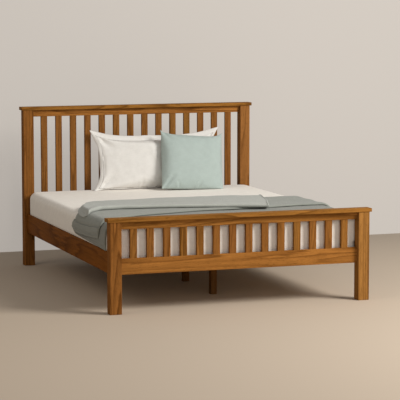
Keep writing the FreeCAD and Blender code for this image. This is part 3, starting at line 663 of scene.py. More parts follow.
@dataclass
class Mattress:
    """The mattress in its fitted sheet: full above the side rails, tucked in below."""

    half_x: float = 0.8
    half_y: float = 0.995
    top: float = 0.512
    shelf: float = 0.3573
    bottom: float = 0.3015
    corner: float = 0.075
    edge: float = 0.045
    tuck: float = 0.024
    lip: float = 0.008
    columns: int = 60
    rows: int = 74
    edge_steps: int = 7
    wall_shares: tuple[float, ...] = (0.2, 0.4, 0.6, 0.8, 0.93)
    swell: float = 0.002
    sway: float = 0.0035
    looseness: float = 0.7
    sheet: ClothFinish = ClothFinish("cream sheet", (0.91, 0.865, 0.80, 1.0),
                                     (0.80, 0.74, 0.66, 1.0), threads=900.0, slub=0.15,
                                     crumple=0.8, relief=0.25, depth=0.002)

    def plan(self, u: np.ndarray, v: np.ndarray, inset: float,
             end_inset: float | None = None) -> np.ndarray:
        """Places in the mattress's rounded outline.

        Args:
            u: across, -1 to 1.
            v: along, -1 to 1.
            inset: how far the outline is drawn in.
            end_inset: the same at the two ends, where it differs.

        Returns:
            One row of x, y for each place.
        """
        half_x = self.half_x - inset
        half_y = self.half_y - (inset if end_inset is None else end_inset)
        radius = max(self.corner - inset, 0.004)
        x, y = u * half_x, v * half_y
        over_x = np.maximum(np.abs(x) - (half_x - radius), 0)
        over_y = np.maximum(np.abs(y) - (half_y - radius), 0)
        reach = np.hypot(over_x, over_y)
        keep = np.where(reach > 0, np.maximum(over_x, over_y) / np.maximum(reach, 1e-9), 1)
        x = np.sign(x) * (np.abs(x) - over_x + over_x * keep)
        y = np.sign(y) * (np.abs(y) - over_y + over_y * keep)
        return np.stack([x, y], 1)

    def rim(self) -> tuple[np.ndarray, np.ndarray]:
        """The u and v of the points round the edge of the top grid, in order."""
        across = np.linspace(-1, 1, self.columns)
        along = np.linspace(-1, 1, self.rows)
        u = np.concatenate([across[:-1], np.ones(self.rows - 1), across[:0:-1],
                            -np.ones(self.rows - 1)])
        v = np.concatenate([-np.ones(self.columns - 1), along[:-1], np.ones(self.columns - 1),
                            along[:0:-1]])
        return u, v

    def levels(self) -> list[tuple[float, float, float]]:
        """The rings of the outline, from the top's edge down to the underside.

        Returns:
            How far each ring's sides and ends are drawn in, and its height.
        """
        rings = []
        for step in range(self.edge_steps + 1):
            turn = math.pi / 2 * step / self.edge_steps
            inset = self.edge * (1 - math.sin(turn))
            rings.append((inset, inset, self.top - self.edge * (1 - math.cos(turn))))
        wall = self.top - self.edge - self.shelf - self.lip
        rings += [(0.0, 0.0, self.top - self.edge - share * wall) for share in self.wall_shares]
        turned_in = [(0.0006, 0.0, self.shelf + 0.0025), (0.004, 0.0, self.shelf + 0.0004),
                     (self.tuck, 0.0, self.shelf + 0.0002)]
        inside_rails = [(self.tuck, 0.0, self.bottom + self.lip),
                        (self.tuck + 0.003, 0.003, self.bottom + 0.002),
                        (self.tuck + self.lip, self.lip, self.bottom)]
        return rings + turned_in + inside_rails

    def build(self, weave: NodeTree) -> bpy.types.Object:
        """Make and dress the mattress.

        Args:
            weave: the shared plain weave group.

        Returns:
            The piece.
        """
        grid_v, grid_u = np.meshgrid(np.linspace(-1, 1, self.rows),
                                     np.linspace(-1, 1, self.columns), indexing="ij")
        flat = self.plan(grid_u.ravel(), grid_v.ravel(), self.edge)
        top = np.column_stack([flat, np.full(len(flat), self.top)])
        top[:, 2] += ripple(top, 3.2, 0.0016, 4.0) + ripple(top, 9.0, 0.0009, 9.0)
        rim_u, rim_v = self.rim()
        rings = self.levels()
        walls = []
        for inset, end_inset, level in rings[1:]:
            ring = self.plan(rim_u, rim_v, inset, end_inset)
            walls.append(np.column_stack([ring, np.full(len(ring), level)]))
        count = len(rim_u)
        under = self.plan(grid_u.ravel(), grid_v.ravel(), self.tuck + self.lip, self.lip)
        base = np.column_stack([under, np.full(len(under), self.bottom)])
        points = np.vstack([top, *walls[:-1], base])
        for index, ring in enumerate(walls[:-1]):
            start = len(top) + index * count
            level = rings[index + 1][2]
            if level > self.shelf + self.lip:
                pull = (level - self.shelf) / (self.top - self.shelf)
                swell = self.swell * math.sin(math.pi * pull)
                sway = ripple(ring, 4.0, self.sway, 2.0) * (1 - pull) + swell
                points[start:start + count, 0] += rim_u * sway * self.looseness
                points[start:start + count, 1] -= rim_v * np.abs(sway) * self.looseness
        numbers = edge_numbers(self.rows, self.columns)
        faces = strip_faces(self.rows, self.columns)
        first_wall = len(top)
        chain = [numbers] + [[first_wall + index * count + i for i in range(count)]
                             for index in range(len(walls) - 1)]
        base_first = first_wall + (len(walls) - 1) * count
        chain.append([base_first + n for n in numbers])
        for upper, lower in zip(chain, chain[1:]):
            for i in range(count):
                j = (i + 1) % count
                faces.append((upper[i], lower[i], lower[j], upper[j]))
        faces += strip_faces(self.rows, self.columns, first=base_first, turn=True)
        uvs = points[:, :2] + np.column_stack([points[:, 2] * 0.8, points[:, 2] * 0.6])
        piece = mesh_object("mattress_in_sheet", points, faces, uvs)
        finish_piece(piece, self.sheet.material(weave), Slot.SHEET, "mattress",
                               "mattress")
        return piece


# -------------------------------------------------------------------- pillow and cushion

ON_SEAM = 0.9999
SEAM_CROWDING = 0.35
FLANGE_SAG = 0.016
CORNER_CURL = 0.010
FLANGE_HALF = 0.0022  # half the flange's thickness
FOOT_FLANGE = 1.35  # the flange at the upper edge and what shows of it at the foot
END_CORNER = 0.72
SIDE_CORNER = 0.86
CORNER_POWER = 1.6
RIDGE_SHARE = 0.45


@dataclass(frozen=True)
class Crease:
    """A short crease with a low ridge beside it, pressed into a cover's front.

    across and up are where it starts, from -1 to 1 over the cover. bearing is the way it
    runs in degrees. length, depth and spread are in metres.
    """

    across: float
    up: float
    bearing: float
    length: float
    depth: float
    spread: float = 0.007

    def dent(self, places: np.ndarray, half: np.ndarray) -> np.ndarray:
        """How deep the crease is at each place.

        Args:
            places: rows of x and y, from the cover's middle.
            half: half the cover's width and height.

        Returns:
            One depth for each place.
        """
        off = places - np.array([self.across, self.up]) * half
        turn = math.radians(self.bearing)
        ahead = off @ np.array([math.cos(turn), math.sin(turn)]) / self.length
        beside = off @ np.array([-math.sin(turn), math.cos(turn)])
        fade = np.clip(1 - np.abs(2 * ahead - 0.7), 0, 1)
        spread = self.spread * (0.7 + 0.9 * np.clip(ahead, 0, 1))
        ridge = RIDGE_SHARE * np.exp(-((beside - 2 * spread) / spread) ** 2)
        return self.depth * fade * (np.exp(-(beside / spread) ** 2) - ridge)


@dataclass
class StuffedCover:
    """A cover of two panels sewn round their edge and blown up by its filling.

    It is made lying down, with x across, y up the cover from its foot and z through it,
    and is then leaned back into its place. side_draw and top_draw are how far its sides
    and its upper edge sink in between the corners, and ear_power how near the corners
    they start to sink. dome is how much more its middle stands out than its sides. calm is
    the share of an evenly filled form that is mixed in, and side_round and side_power shape
    the sides of that form.
    """

    name: str
    node: str
    body: str
    slot: Slot
    finish: ClothFinish
    width: float
    height: float
    thickness: float
    lean: float
    roll: float = 0.0
    sink: float = 0.02
    shift: float = 0.0
    flange: float = 0.0
    side_draw: float = 0.01
    top_draw: float = 0.03
    ear_power: float = 4.0
    dome: float = 0.0
    calm: float = 0.55
    side_round: float = 2.0
    side_power: float = 0.55
    creases: tuple[Crease, ...] = ()
    columns: int = 56
    rows: int = 48
    pressure: float = 4.0
    fullness: float = 0.52
    frames: int = 30
    seed: float = 1.0

    @property
    def body_width(self) -> float:
        """The width between the side seams."""
        return self.width - 2 * self.flange

    @property
    def body_height(self) -> float:
        """The height between the lower and the upper seam."""
        return self.height - self.flange * FOOT_FLANGE

    def grid(self) -> tuple[np.ndarray, np.ndarray]:
        """The places of one panel's points, from -1 to 1 both ways, closer at the seams."""
        even = (np.linspace(-1, 1, count) for count in (self.columns, self.rows))
        across, up = (np.sin(line * math.pi / 2) * SEAM_CROWDING + line * (1 - SEAM_CROWDING)
                      for line in even)
        grid_v, grid_u = np.meshgrid(up, across, indexing="ij")
        return grid_u.ravel(), grid_v.ravel()

    def seam(self) -> list[int]:
        """The numbers of the seam's points, in order round the cover."""
        return edge_numbers(self.rows, self.columns)

    def inner(self) -> np.ndarray:
        """Which of one panel's points lie inside the seam."""
        u, v = self.grid()
        return (np.abs(u) < ON_SEAM) & (np.abs(v) < ON_SEAM)

    def panels(self) -> bpy.types.Object:
        """Two panels that share their edge, a little apart in the middle.

        Returns:
            The piece.
        """
        u, v = self.grid()
        x, y = u * self.body_width / 2, v * self.body_height / 2
        rise = 0.2 * self.thickness * (np.clip((1 - u ** 4) * (1 - v ** 4), 0, 1) ** 0.5)
        front, back = np.column_stack([x, y, rise]), np.column_stack([x, y, -rise])
        inner = np.flatnonzero(self.inner())
        number = np.arange(len(u))
        number[inner] = len(u) + np.arange(len(inner))
        faces = strip_faces(self.rows, self.columns)
        faces += [tuple(int(number[i]) for i in quad)
                  for quad in strip_faces(self.rows, self.columns, turn=True)]
        uvs = np.column_stack([x, y])
        return mesh_object(self.name, np.vstack([front, back[inner]]), faces,
                           np.vstack([uvs, uvs[inner] + self.width * 3]))

    def blow_up(self, piece: bpy.types.Object) -> None:
        """Inflate the sewn panels as cloth and keep the result."""
        cloth = piece.modifiers.new("filling", "CLOTH")
        settings = cloth.settings
        settings.quality = 6
        settings.mass = 0.3
        settings.tension_stiffness = settings.compression_stiffness = 15.0
        settings.shear_stiffness = 5.0
        settings.bending_stiffness = 0.3
        settings.use_pressure = settings.use_pressure_volume = True
        settings.uniform_pressure_force = 0.0
        settings.pressure_factor = self.pressure
        settings.target_volume = (self.fullness * self.body_width * self.body_height
                                  * self.thickness)
        settings.effector_weights.gravity = 0.0
        cloth.point_cache.frame_start = 1
        cloth.point_cache.frame_end = self.frames
        scene = bpy.context.scene
        for frame in range(1, self.frames + 1):
            scene.frame_set(frame)
        apply_modifiers(piece)
        scene.frame_set(1)

    def sized(self, places: np.ndarray) -> np.ndarray:
        """Bring the blown-up cover to its real size and outline.

        Args:
            places: the points as they came out of the simulation.

        Returns:
            The points, with the foot at y = 0.
        """
        low, top = places.min(0), places.max(0)
        half = np.array([self.body_width, self.body_height, self.thickness]) / 2
        fitted = (places - (low + top) / 2) * (2 * half / (top - low))
        fitted = fitted * (1 - self.calm) + self.plain_shape(half) * self.calm
        u = self.draw_in(fitted, half)
        fitted[:, 2] *= (1 + self.dome / 4) * (1 - self.dome * u ** 2)
        for crease in self.creases:
            fitted[:, 2] -= crease.dent(fitted[:, :2], half[:2]) * (fitted[:, 2] > 0)
        fitted[:, 1] += self.height - self.flange - half[1]
        return fitted

    def draw_in(self, fitted: np.ndarray, half: np.ndarray) -> np.ndarray:
        """Draw the cover's edges in between its corners, fading towards the far edges.

        Args:
            fitted: the points of both panels, which are moved.
            half: half the body's width, height and thickness.

        Returns:
            How far across each point lies, from -1 to 1.
        """
        u, v = self.grid()
        sheet = fitted[:len(u)].reshape(self.rows, self.columns, 3)
        across, up = u[:self.columns], v[::self.columns]
        inner = self.inner()
        sink_side = self.side_draw * (1 - np.abs(up) ** self.ear_power)
        sink_top = self.top_draw * (1 - np.abs(across) ** self.ear_power)
        left = -half[0] + sink_side - sheet[:, 0, 0]
        right = half[0] - sink_side - sheet[:, -1, 0]
        foot = -half[1] - sheet[0, :, 1]
        head = half[1] - sink_top - sheet[-1, :, 1]
        u, v = np.concatenate([u, u[inner]]), np.concatenate([v, v[inner]])
        to_left, to_right = (1 - u) / 2, (1 + u) / 2
        to_foot, to_head = (1 - v) / 2, (1 + v) / 2
        fitted[:, 0] += (np.interp(v, up, left) * to_left ** 3
                         + np.interp(v, up, right) * to_right ** 3)
        fitted[:, 1] += (np.interp(u, across, foot) * to_foot ** 3
                         + np.interp(u, across, head) * to_head ** 3)
        return u

    def plain_shape(self, half: np.ndarray) -> np.ndarray:
        """The evenly filled form that the blown-up one is calmed with.

        Args:
            half: half the body's width, height and thickness.

        Returns:
            The points of both panels.
        """
        u, v = self.grid()
        inner = self.inner()
        rise = (half[2] * np.clip(1 - np.abs(u) ** self.side_round, 0, 1) ** self.side_power
                * np.clip(1 - v ** 2, 0, 1) ** 0.55)
        front = np.column_stack([u * half[0], v * half[1], rise])
        return np.vstack([front, front[inner] * [1.0, 1.0, -1.0]])

    def build(self, weave: NodeTree) -> bpy.types.Object:
        """Make, place and dress the cover.

        Args:
            weave: the shared plain weave group.

        Returns:
            The piece.
        """
        piece = self.panels()
        self.blow_up(piece)
        places = np.empty(len(piece.data.vertices) * 3)
        piece.data.vertices.foreach_get("co", places)
        places = self.sized(places.reshape(-1, 3))
        places[:, 2] += ripple(places, 11.0, 0.004, self.seed)
        if self.flange:
            border = self.border(places[self.seam()])
            everything = self.stand(np.vstack([places, border]))
            places, border = everything[:len(places)], everything[len(places):]
            self.sew_border(piece, border)
            places = np.vstack([places, border])
        else:
            places = self.stand(places)
        piece.data.vertices.foreach_set("co", places.ravel())
        smooth = piece.modifiers.new("fine cloth", "SUBSURF")
        smooth.levels = smooth.render_levels = 1
        apply_modifiers(piece)
        piece.data.shade_smooth()
        finish_piece(piece, self.finish.material(weave), self.slot, self.body,
                               self.node)
        return piece

    def stand(self, places: np.ndarray) -> np.ndarray:
        """Lean the cover back, set it where the model has it and flatten its foot.

        Args:
            places: the points, lying down.

        Returns:
            The points in the model's frame.
        """
        low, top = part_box(self.node)
        roll = Matrix.Rotation(math.radians(self.roll), 3, "Z")
        turn = np.array(Matrix.Rotation(math.radians(90 - self.lean), 3, "X") @ roll)
        stood = places @ turn.T
        stood[:, 0] += (low.x + top.x - stood[:, 0].min() - stood[:, 0].max()) / 2 + self.shift
        stood[:, 1] += top.y - stood[:, 1].max()
        stood[:, 2] -= stood[:, 2].min() + self.sink
        pressed = (stood[:, 2] + self.sink) ** 2 / (4 * self.sink)
        stood[:, 2] = low.z + np.where(stood[:, 2] < self.sink, pressed, stood[:, 2])
        return stood

    def border(self, ring: np.ndarray) -> np.ndarray:
        """The points of a flat border round the seam.

        Args:
            ring: the seam's points in order, lying down.

        Returns:
            Eight rings of points: four over the front and four back over the rear.
        """
        u, v = (values[self.seam()] for values in self.grid())
        sides, ends = np.abs(u) > ON_SEAM, np.abs(v) > ON_SEAM
        near_end = np.clip((np.abs(v) - END_CORNER) / (1 - END_CORNER), 0, 1) ** CORNER_POWER
        near_side = np.clip((np.abs(u) - SIDE_CORNER) / (1 - SIDE_CORNER), 0, 1) ** CORNER_POWER
        out = np.column_stack([np.sign(u) * np.where(sides, 1.0, near_side),
                               np.sign(v) * np.where(ends, 1.0, near_end),
                               np.zeros(len(u))])
        corner = np.maximum(np.where(sides, near_end, 0), np.where(ends, near_side, 0))
        foot = (v < -ON_SEAM) & (corner < 0.9)
        reach = self.flange * np.where(foot, 0.35 + 0.6 * corner,
                                       np.where(sides, 0.54 + 0.46 * np.abs(v) ** 4, 1.0))
        sway = ripple(ring, 8.0, FLANGE_SAG, self.seed + 3)
        back = -FLANGE_SAG * (1 - corner) + CORNER_CURL * corner + sway
        rings = []
        for face in (1, -1):
            for share in (0.0, 0.33, 0.67, 1.0)[::face]:
                flare = out * (reach * share)[:, None]
                flare[:, 2] += back * share ** 1.5 + face * FLANGE_HALF
                rings.append(ring + flare)
        return np.vstack(rings)

    def sew_border(self, piece: bpy.types.Object, border: np.ndarray) -> None:
        """Join the border's strip to the cover.

        Args:
            piece: the cover.
            border: the border's points.
        """
        count = len(self.seam())
        rows = len(border) // count
        steps = np.linalg.norm(np.diff(border[:count], axis=0), axis=1)
        around = np.concatenate([[0], np.cumsum(steps)])
        uvs = np.vstack([np.column_stack([around, np.full(count, self.width * 6
                                                          + self.flange / 3 * row)])
                         for row in range(rows)])
        strip = mesh_object(f"{self.name}_border", border, strip_faces(rows, count, ring=True),
                            uvs)
        with bpy.context.temp_override(active_object=piece,
                                       selected_editable_objects=[piece, strip]):
            bpy.ops.object.join()


# ------------------------------------------------------------------------------- throw


ROUNDINGS = 2
LINE_STEPS = 640
KERNEL_STEPS = 13


def value_at(knots: Line, place: float) -> float:
    """The value of the straight lines between a table's knots at one place."""
    known, values = np.array(knots).T
    return float(np.interp(place, known, values))


def smooth_line(places: np.ndarray, knots: Line) -> np.ndarray:
    """A rounded line through a table of knots.

    Args:
        places: where the line is wanted, ascending.
        knots: the known places with their values, ascending.

    Returns:
        The line's value at each place.
    """
    known, values = np.array(knots).T
    fine = np.linspace(known[0], known[-1], LINE_STEPS)
    line = np.interp(fine, known, values)
    kernel = np.hanning(KERNEL_STEPS)
    kernel /= kernel.sum()
    for _ in range(ROUNDINGS):
        padded = np.concatenate([2 * line[0] - line[6:0:-1], line, 2 * line[-1] - line[-2:-8:-1]])
        line = np.convolve(padded, kernel, "valid")
    return np.interp(places, fine, line)


STITCH_DEPTH = 0.5
STITCH_SPREAD = 0.0035
HEM_RISE = 0.3
END_ROUND = 0.009
END_THICKNESS = 0.04  # what is left of the thickness at the very end of the rounding
FRONT_PUFF = 0.2  # how much of the leaf's width puffs up behind its front fold
THIN_SHARE = 0.35  # how much of a tapering end stays at its thinnest
COLUMN_LENGTH = 1.9  # the longest leaf, which the columns' spacing is set out for
END_STEPS = (0, 0.0008, 0.003, 0.007, 0.012, 0.020)
STITCH_STEPS = (-0.005, -0.0025, 0.0, 0.0025, 0.005)


@dataclass
class ThrowLeaf:
    """One leaf of the folded throw: a folded strip of cloth laid across the mattress.

    Places along the strip are measured over the mattress, from the middle of the bed.
    front and hind are its two edges along Y by that place. left and right are its two ends
    by the share of the way from the hind edge to the front edge. lift is its underside's
    height over the mattress, taper how far in its left end gets thinner, by the same share,
    and end_share what is left of its thickness there. stitches are sewn lines by their place
    from the left end, or a raised hem by its negative place from the right end.
    """

    name: str
    lift: float
    thickness: float
    front: Line
    hind: Line
    left: Line
    right: Line
    puff: float
    stitches: tuple[float, ...] = ()
    taper: Line = ((0.0, 0.012), (1.0, 0.012))
    end_share: float = 0.3
    cloth: float = 0.004
    seed: float = 1.0

    def profile(self) -> np.ndarray:
        """The strip's folded section.

        Returns:
            Rows of place between the hind edge (0) and the front edge (1), height over the
            leaf's underside as a share of its thickness, and how far it stands out in
            front in thicknesses.
        """
        lower = [(share, 0.0, 0.0) for share in np.linspace(0.02, 0.97, 10)]
        fold = [(1.0, 0.5 - 0.5 * math.cos(turn), 0.5 * math.sin(turn))
                for turn in np.linspace(0.15, math.pi, 8)]
        upper = [(share, 1.0, 0.0) for share in np.linspace(0.975, 0.03, 30)]
        hind = [(0.0, 0.5 + 0.5 * math.cos(turn), -0.4 * math.sin(turn))
                for turn in np.linspace(0.3, math.pi * 0.85, 6)]
        return np.array(lower + fold + upper + hind)

    def plumpness(self, place: float, edge: np.ndarray, from_left: np.ndarray) -> np.ndarray:
        """How thick the leaf is along one of its lines.

        Args:
            place: the line's place between the hind and the front edge.
            edge: how far each point is from the nearest end, 1 where the rounding stops.
            from_left: each point's distance from the left end.

        Returns:
            The thickness at each point.
        """
        plump = self.thickness + self.puff * math.exp(-((1 - place) / FRONT_PUFF) ** 2)
        plump *= np.sqrt(1 - (1 - edge) ** 2) * (1 - END_THICKNESS) + END_THICKNESS
        inward = from_left / value_at(self.taper, place)
        full = np.clip((inward - THIN_SHARE) / (1 - THIN_SHARE), 0, 1)
        return plump * (self.end_share + (1 - self.end_share) * full)

    def shares(self) -> np.ndarray:
        """Where the columns are along the strip, closer together at its ends and stitches."""
        ends = np.array(END_STEPS) / COLUMN_LENGTH
        seams = [(place + step) / COLUMN_LENGTH % 1 for place in self.stitches
                 for step in STITCH_STEPS]
        first = 0.028 / COLUMN_LENGTH
        middle = np.linspace(first, 1 - first, 128)
        return np.unique(np.concatenate([ends, 1 - ends, seams, middle]))


@dataclass
class Throw:
    """A folded throw of three leaves over the foot half of the mattress."""

    bed: Mattress
    leaves: list[ThrowLeaf] = field(default_factory=list)
    # one grey green cloth in three copies: the pale one carries painted light for the top band,
    # the shaded one painted shade for the under leaf hanging over the side
    finishes: tuple[ClothFinish, ...] = (
        ClothFinish("shaded throw", (0.212, 0.217, 0.190, 1.0), (0.12, 0.125, 0.105, 1.0),
                    threads=420.0, slub=0.5, relief=0.5, depth=0.003, sheen=0.2),
        ClothFinish("grey green throw", (0.262, 0.275, 0.245, 1.0), (0.165, 0.175, 0.15, 1.0),
                    threads=420.0, slub=0.5, relief=0.5, depth=0.003, sheen=0.2),
        ClothFinish("throw with painted light", (0.415, 0.43, 0.395, 1.0), (0.28, 0.29, 0.26, 1.0),
                    threads=420.0, slub=0.5, relief=0.5, depth=0.003, sheen=0.2))

    def over(self, along: np.ndarray, lift: np.ndarray) -> tuple[np.ndarray, np.ndarray]:
        """Where cloth lies that is laid over the mattress.

        Args:
            along: the place along the cloth from the middle of the bed, in metres.
            lift: its height over the mattress's cover.

        Returns:
            The x and the z of each place.
        """
        flat = self.bed.half_x - self.bed.edge
        radius = self.bed.edge + lift
        arc = radius * math.pi / 2
        past = np.abs(along) - flat
        turn = np.clip(past / arc, 0, 1) * math.pi / 2
        drop = np.maximum(past - arc, 0)
        x = np.where(past < 0, np.abs(along), flat + radius * np.sin(turn))
        z = np.where(past < 0, self.bed.top + lift,
                     self.bed.top - self.bed.edge + radius * np.cos(turn) - drop)
        return np.sign(along) * x, z

    def row(self, leaf: ThrowLeaf, share: np.ndarray, place: float, height: float,
            bulge: float) -> tuple[np.ndarray, np.ndarray]:
        """One line of points along a leaf.

        Args:
            leaf: the leaf.
            share: the columns' places along the strip, 0 to 1.
            place: the row's place between the hind and the front edge.
            height: its height as a share of the leaf's thickness.
            bulge: how far it stands out in front, in thicknesses.

        Returns:
            The points, and the place along the strip of each.
        """
        left, right = value_at(leaf.left, place), value_at(leaf.right, place)
        run = left + (right - left) * share
        hind, front = smooth_line(run, leaf.hind), smooth_line(run, leaf.front)
        from_left, from_right = run - left, right - run
        edge = np.clip(np.minimum(from_left, from_right) / END_ROUND, 0, 1)
        plump = leaf.plumpness(place, edge, from_left)
        for stitch in leaf.stitches:
            inward = from_left - stitch if stitch > 0 else from_right + stitch
            depth = STITCH_DEPTH if stitch > 0 else -HEM_RISE
            plump *= 1 - depth * np.exp(-(inward / STITCH_SPREAD) ** 2) * (height > 0.5)
        flat = np.column_stack([run, np.full(len(run), place * 0.6), np.zeros(len(run))])
        sway = ripple(flat, 3.0, 0.010, leaf.seed)
        y = hind + (front + sway - hind) * place - bulge * plump
        fine = np.column_stack([run, y, np.zeros(len(run))])
        rise = (ripple(fine * [1.0, 2.2, 1.0], 4.0, 0.004, leaf.seed + 5)
                + ripple(fine, 17.0, 0.0014, leaf.seed + 8)) * min(height, 1.0) * edge
        x, z = self.over(run, leaf.lift + np.maximum(height * plump + rise, 0.0))
        return np.column_stack([x, y, z]), run

    def make_leaf(self, leaf: ThrowLeaf, material: bpy.types.Material) -> bpy.types.Object:
        """Build one leaf.

        Args:
            leaf: its sizes.
            material: its cloth.

        Returns:
            The piece.
        """
        share = leaf.shares()
        rows, flat = [], []
        travelled, last = 0.0, None
        for place, height, bulge in leaf.profile():
            points, run = self.row(leaf, share, float(place), float(height), float(bulge))
            if last is not None:
                travelled += float(np.median(np.linalg.norm(points - last, axis=1)))
            last = points
            rows.append(points)
            flat.append(np.column_stack([run, np.full(len(run), travelled)]))
        piece = mesh_object(leaf.name, np.vstack(rows), strip_faces(len(rows), len(share)),
                            np.vstack(flat))
        body = piece.modifiers.new("thickness", "SOLIDIFY")
        body.thickness = leaf.cloth
        body.offset = -1.0
        smooth = piece.modifiers.new("fine cloth", "SUBSURF")
        smooth.levels = smooth.render_levels = 1
        apply_modifiers(piece)
        piece.data.shade_smooth()
        finish_piece(piece, material, Slot.THROW, "throw", "throw")
        return piece

    def build(self, weave: NodeTree) -> None:
        """Make and dress every leaf.

        Args:
            weave: the shared plain weave group.
        """
        finishes = [finish.material(weave) for finish in self.finishes]
        for leaf, finish in zip(self.leaves, finishes):
            self.make_leaf(leaf, finish)


CORNER: Line = ((-0.96, -0.235), (-0.925, -0.212), (-0.911, -0.188), (-0.892, -0.212),
                (-0.875, -0.240), (-0.854, -0.276), (-0.826, -0.305), (-0.800, -0.300),
                (-0.755, -0.215),
                (-0.690, -0.100), (-0.640, -0.042), (0.96, -0.040))
LEAVES = [
    ThrowLeaf("throw_under", 0.0012, 0.010,
              front=((-0.96, -0.908), (-0.86, -0.912), (-0.78, -0.940), (-0.70, -0.955),
                     (0.95, -0.955)),
              hind=CORNER,
              left=((0.0, -0.910), (0.02, -0.915), (0.06, -0.917), (0.16, -0.920), (0.28, -0.923),
                    (0.47, -0.927), (0.68, -0.931), (1.0, -0.937)),
              right=((0.0, 0.935), (1.0, 0.935)), puff=0.0, stitches=(0.012,),
              end_share=0.6, seed=2.0),
    ThrowLeaf("throw_middle", 0.0125, 0.011,
              front=((-0.96, -0.770), (-0.889, -0.784), (-0.844, -0.810), (-0.805, -0.818),
                     (-0.770, -0.805), (-0.700, -0.760), (-0.519, -0.655), (-0.301, -0.595),
                     (-0.088, -0.545), (0.114, -0.530), (0.314, -0.532), (0.576, -0.484),
                     (0.80, -0.480), (0.96, -0.470)),
              hind=CORNER[:-2] + ((-0.640, -0.030), (0.96, -0.018)),
              left=((0.0, -0.900), (0.04, -0.914), (0.20, -0.920), (0.50, -0.915), (0.8, -0.905),
                    (1.0, -0.898)),
              right=((0.0, 0.925), (1.0, 0.925)), puff=0.003, stitches=(0.010, 0.055),
              end_share=0.85, seed=5.0),
    ThrowLeaf("throw_band", 0.0255, 0.017,
              front=((-0.85, -0.520), (-0.801, -0.509), (-0.770, -0.480), (-0.695, -0.400),
                     (-0.555, -0.380), (-0.366, -0.400), (-0.059, -0.462), (0.269, -0.566),
                     (0.346, -0.590), (0.52, -0.63)),
              hind=((-0.85, -0.30), (-0.685, -0.095), (-0.632, -0.062), (-0.574, -0.045),
                    (-0.501, -0.030), (-0.291, -0.008), (-0.084, 0.0), (0.119, -0.006),
                    (0.312, -0.030), (0.438, -0.050), (0.53, -0.060)),
              left=((0.0, -0.712), (0.08, -0.785), (0.15, -0.802), (0.41, -0.823),
                    (0.83, -0.828), (1.0, -0.806)),
              right=((0.0, 0.505), (0.5, 0.445), (0.9, 0.370), (1.0, 0.350)), puff=0.008,
              stitches=(-0.010,),
              taper=((0.0, 0.004), (0.08, 0.044), (0.15, 0.057), (0.41, 0.057), (0.83, 0.037),
                     (1.0, 0.008)), end_share=0.08, seed=8.0),
]


# ------------------------------------------------------------------------------- studio


@dataclass(frozen=True)
class Lamp:
    """A square soft lamp, with its side in metres and its power in watts."""

    name: str
    place: tuple[float, float, float]
    size: float
    power: float
    colour: Tone

    def hang(self, aim: Vector) -> None:
        """Hang the lamp and point it.

        Args:
            aim: the place it points at.
        """
        light = bpy.data.lights.new(self.name, "AREA")
        light.size = self.size
        light.energy = self.power
        light.color = self.colour
        made = bpy.data.objects.new(self.name, light)
        bpy.context.scene.collection.objects.link(made)
        made.location = self.place
        made.rotation_euler = (aim - Vector(self.place)).to_track_quat("-Z", "Y").to_euler()


@dataclass
class Studio:
    """The camera, the plain floor and wall, and the soft lamps."""

    eye: tuple[float, float, float] = (-3.8457, -11.2931, 1.8955)
    yaw: float = 0.33621
    pitch: float = 0.11382
    lens: float = 166.606
    floor: StageFinish = StageFinish("pale floor", (0.50, 0.415, 0.33, 1.0))
    wall: StageFinish = StageFinish("pale wall", (0.25, 0.233, 0.215, 1.0), glow=1.42)
    wall_distance: float = 1.696
    reach: float = 14.0
    aim: tuple[float, float, float] = (0.0, 0.0, 0.45)
    lamps: tuple[Lamp, ...] = (
        Lamp("key", (3.3, -3.8, 3.5), 2.2, 345.0, (1.0, 0.975, 0.93)),
        Lamp("left fill", (-5.0, -1.5, 4.6), 3.0, 62.0, (1.0, 0.88, 0.74)),
        Lamp("front fill", (-0.5, -8.0, 2.2), 3.0, 80.0, (1.0, 0.98, 0.96)))

    def camera(self) -> None:
        """Stand the camera low, in front of the bed and to its left."""
        lens = bpy.data.cameras.new("camera")
        lens.lens = self.lens
        lens.sensor_width = 36.0
        lens.clip_end = 60.0
        made = bpy.data.objects.new("camera", lens)
        bpy.context.scene.collection.objects.link(made)
        ahead = Vector((math.sin(self.yaw) * math.cos(self.pitch),
                        math.cos(self.yaw) * math.cos(self.pitch), -math.sin(self.pitch)))
        made.location = self.eye
        made.rotation_euler = ahead.to_track_quat("-Z", "Y").to_euler()
        bpy.context.scene.camera = made

    def build(self) -> None:
        """Set up the whole studio."""
        self.camera()
        reach, back = self.reach, self.wall_distance
        floor = mesh_object("floor", np.array([(-reach, -reach, 0), (reach, -reach, 0),
                                               (reach, back, 0), (-reach, back, 0)]),
                            [(0, 1, 2, 3)])
        wall = mesh_object("wall", np.array([(-reach, back, 0), (reach, back, 0),
                                             (reach, back, reach), (-reach, back, reach)]),
                           [(0, 1, 2, 3)])
        floor.data.materials.append(self.floor.material())
        wall.data.materials.append(self.wall.material())
        wall.visible_diffuse = wall.visible_shadow = False
        for lamp in self.lamps:
            lamp.hang(Vector(self.aim))
        world = bpy.data.worlds.new("room")
        world.use_nodes = True
        back_light = world.node_tree.nodes["Background"]
        back_light.inputs[0].default_value = (1.0, 0.985, 0.96, 1.0)
        back_light.inputs[1].default_value = 0.25
        bpy.context.scene.world = world
        bpy.context.scene.view_settings.view_transform = "Standard"


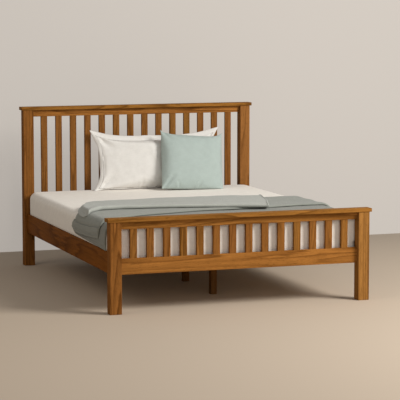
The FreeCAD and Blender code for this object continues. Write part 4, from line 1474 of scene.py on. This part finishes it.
WHITE_COTTON = ClothFinish("white cotton", (0.735, 0.72, 0.695, 1.0), (0.62, 0.60, 0.565, 1.0),
                           threads=700.0, slub=0.3, relief=0.4, depth=0.003)
SAGE_COTTON = ClothFinish("sage cotton", (0.405, 0.478, 0.455, 1.0), (0.295, 0.352, 0.33, 1.0),
                          threads=330.0, slub=0.5, relief=0.5, depth=0.003)
PILLOW = StuffedCover(
    "flanged_pillow", "pillow", "pillow", Slot.PILLOW, WHITE_COTTON, width=0.948, height=0.425,
    thickness=0.140, lean=12.0, sink=0.025, shift=-0.006, flange=0.038, side_draw=0.048,
    top_draw=0.046, ear_power=4.0, dome=0.85, columns=84, rows=40, seed=3.0,
    creases=(Crease(-1.0, 1.0, -38.0, 0.20, 0.015, 0.014),
             Crease(-1.0, -1.0, 32.0, 0.18, 0.014, 0.014),
             Crease(-0.42, 1.0, -105.0, 0.07, 0.007), Crease(-0.1, 1.0, -80.0, 0.07, 0.007),
             Crease(-0.98, 0.1, 8.0, 0.14, 0.008, 0.012), Crease(-0.3, -1.0, 80.0, 0.08, 0.007)))
CUSHION = StuffedCover(
    "square_cushion", "cushion", "cushion", Slot.CUSHION, SAGE_COTTON, width=0.452, height=0.424,
    thickness=0.140, lean=18.0, roll=-4.6, sink=0.022, shift=-0.012, side_draw=0.004,
    top_draw=0.032, ear_power=7.0, calm=0.8, side_round=5.0, side_power=0.9, fullness=0.46,
    columns=64, rows=56, seed=6.0,
    creases=(Crease(0.16, 1.0, -62.0, 0.08, 0.010), Crease(0.80, 1.0, -140.0, 0.08, 0.010),
             Crease(-1.0, 1.0, -48.0, 0.14, 0.010, 0.010),
             Crease(-0.95, -1.0, 52.0, 0.16, 0.012, 0.010),
             Crease(0.10, -1.0, 62.0, 0.08, 0.009), Crease(-0.45, -1.0, 100.0, 0.07, 0.007)))


def main() -> None:
    """Build the whole bed."""
    logging.basicConfig(level=logging.INFO)
    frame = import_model()
    Studio().build()
    grain, weave = oak_grain_group(), weave_group()
    rigid = {name: node for name, node in frame["nodes"].items() if name not in SOFT_NODES}
    WoodFrame().dress(rigid, grain, weave)
    bed = Mattress()
    bed.build(weave)
    Throw(bed, LEAVES).build(weave)
    PILLOW.build(weave)
    CUSHION.build(weave)


if __name__ == "__main__":
    main()
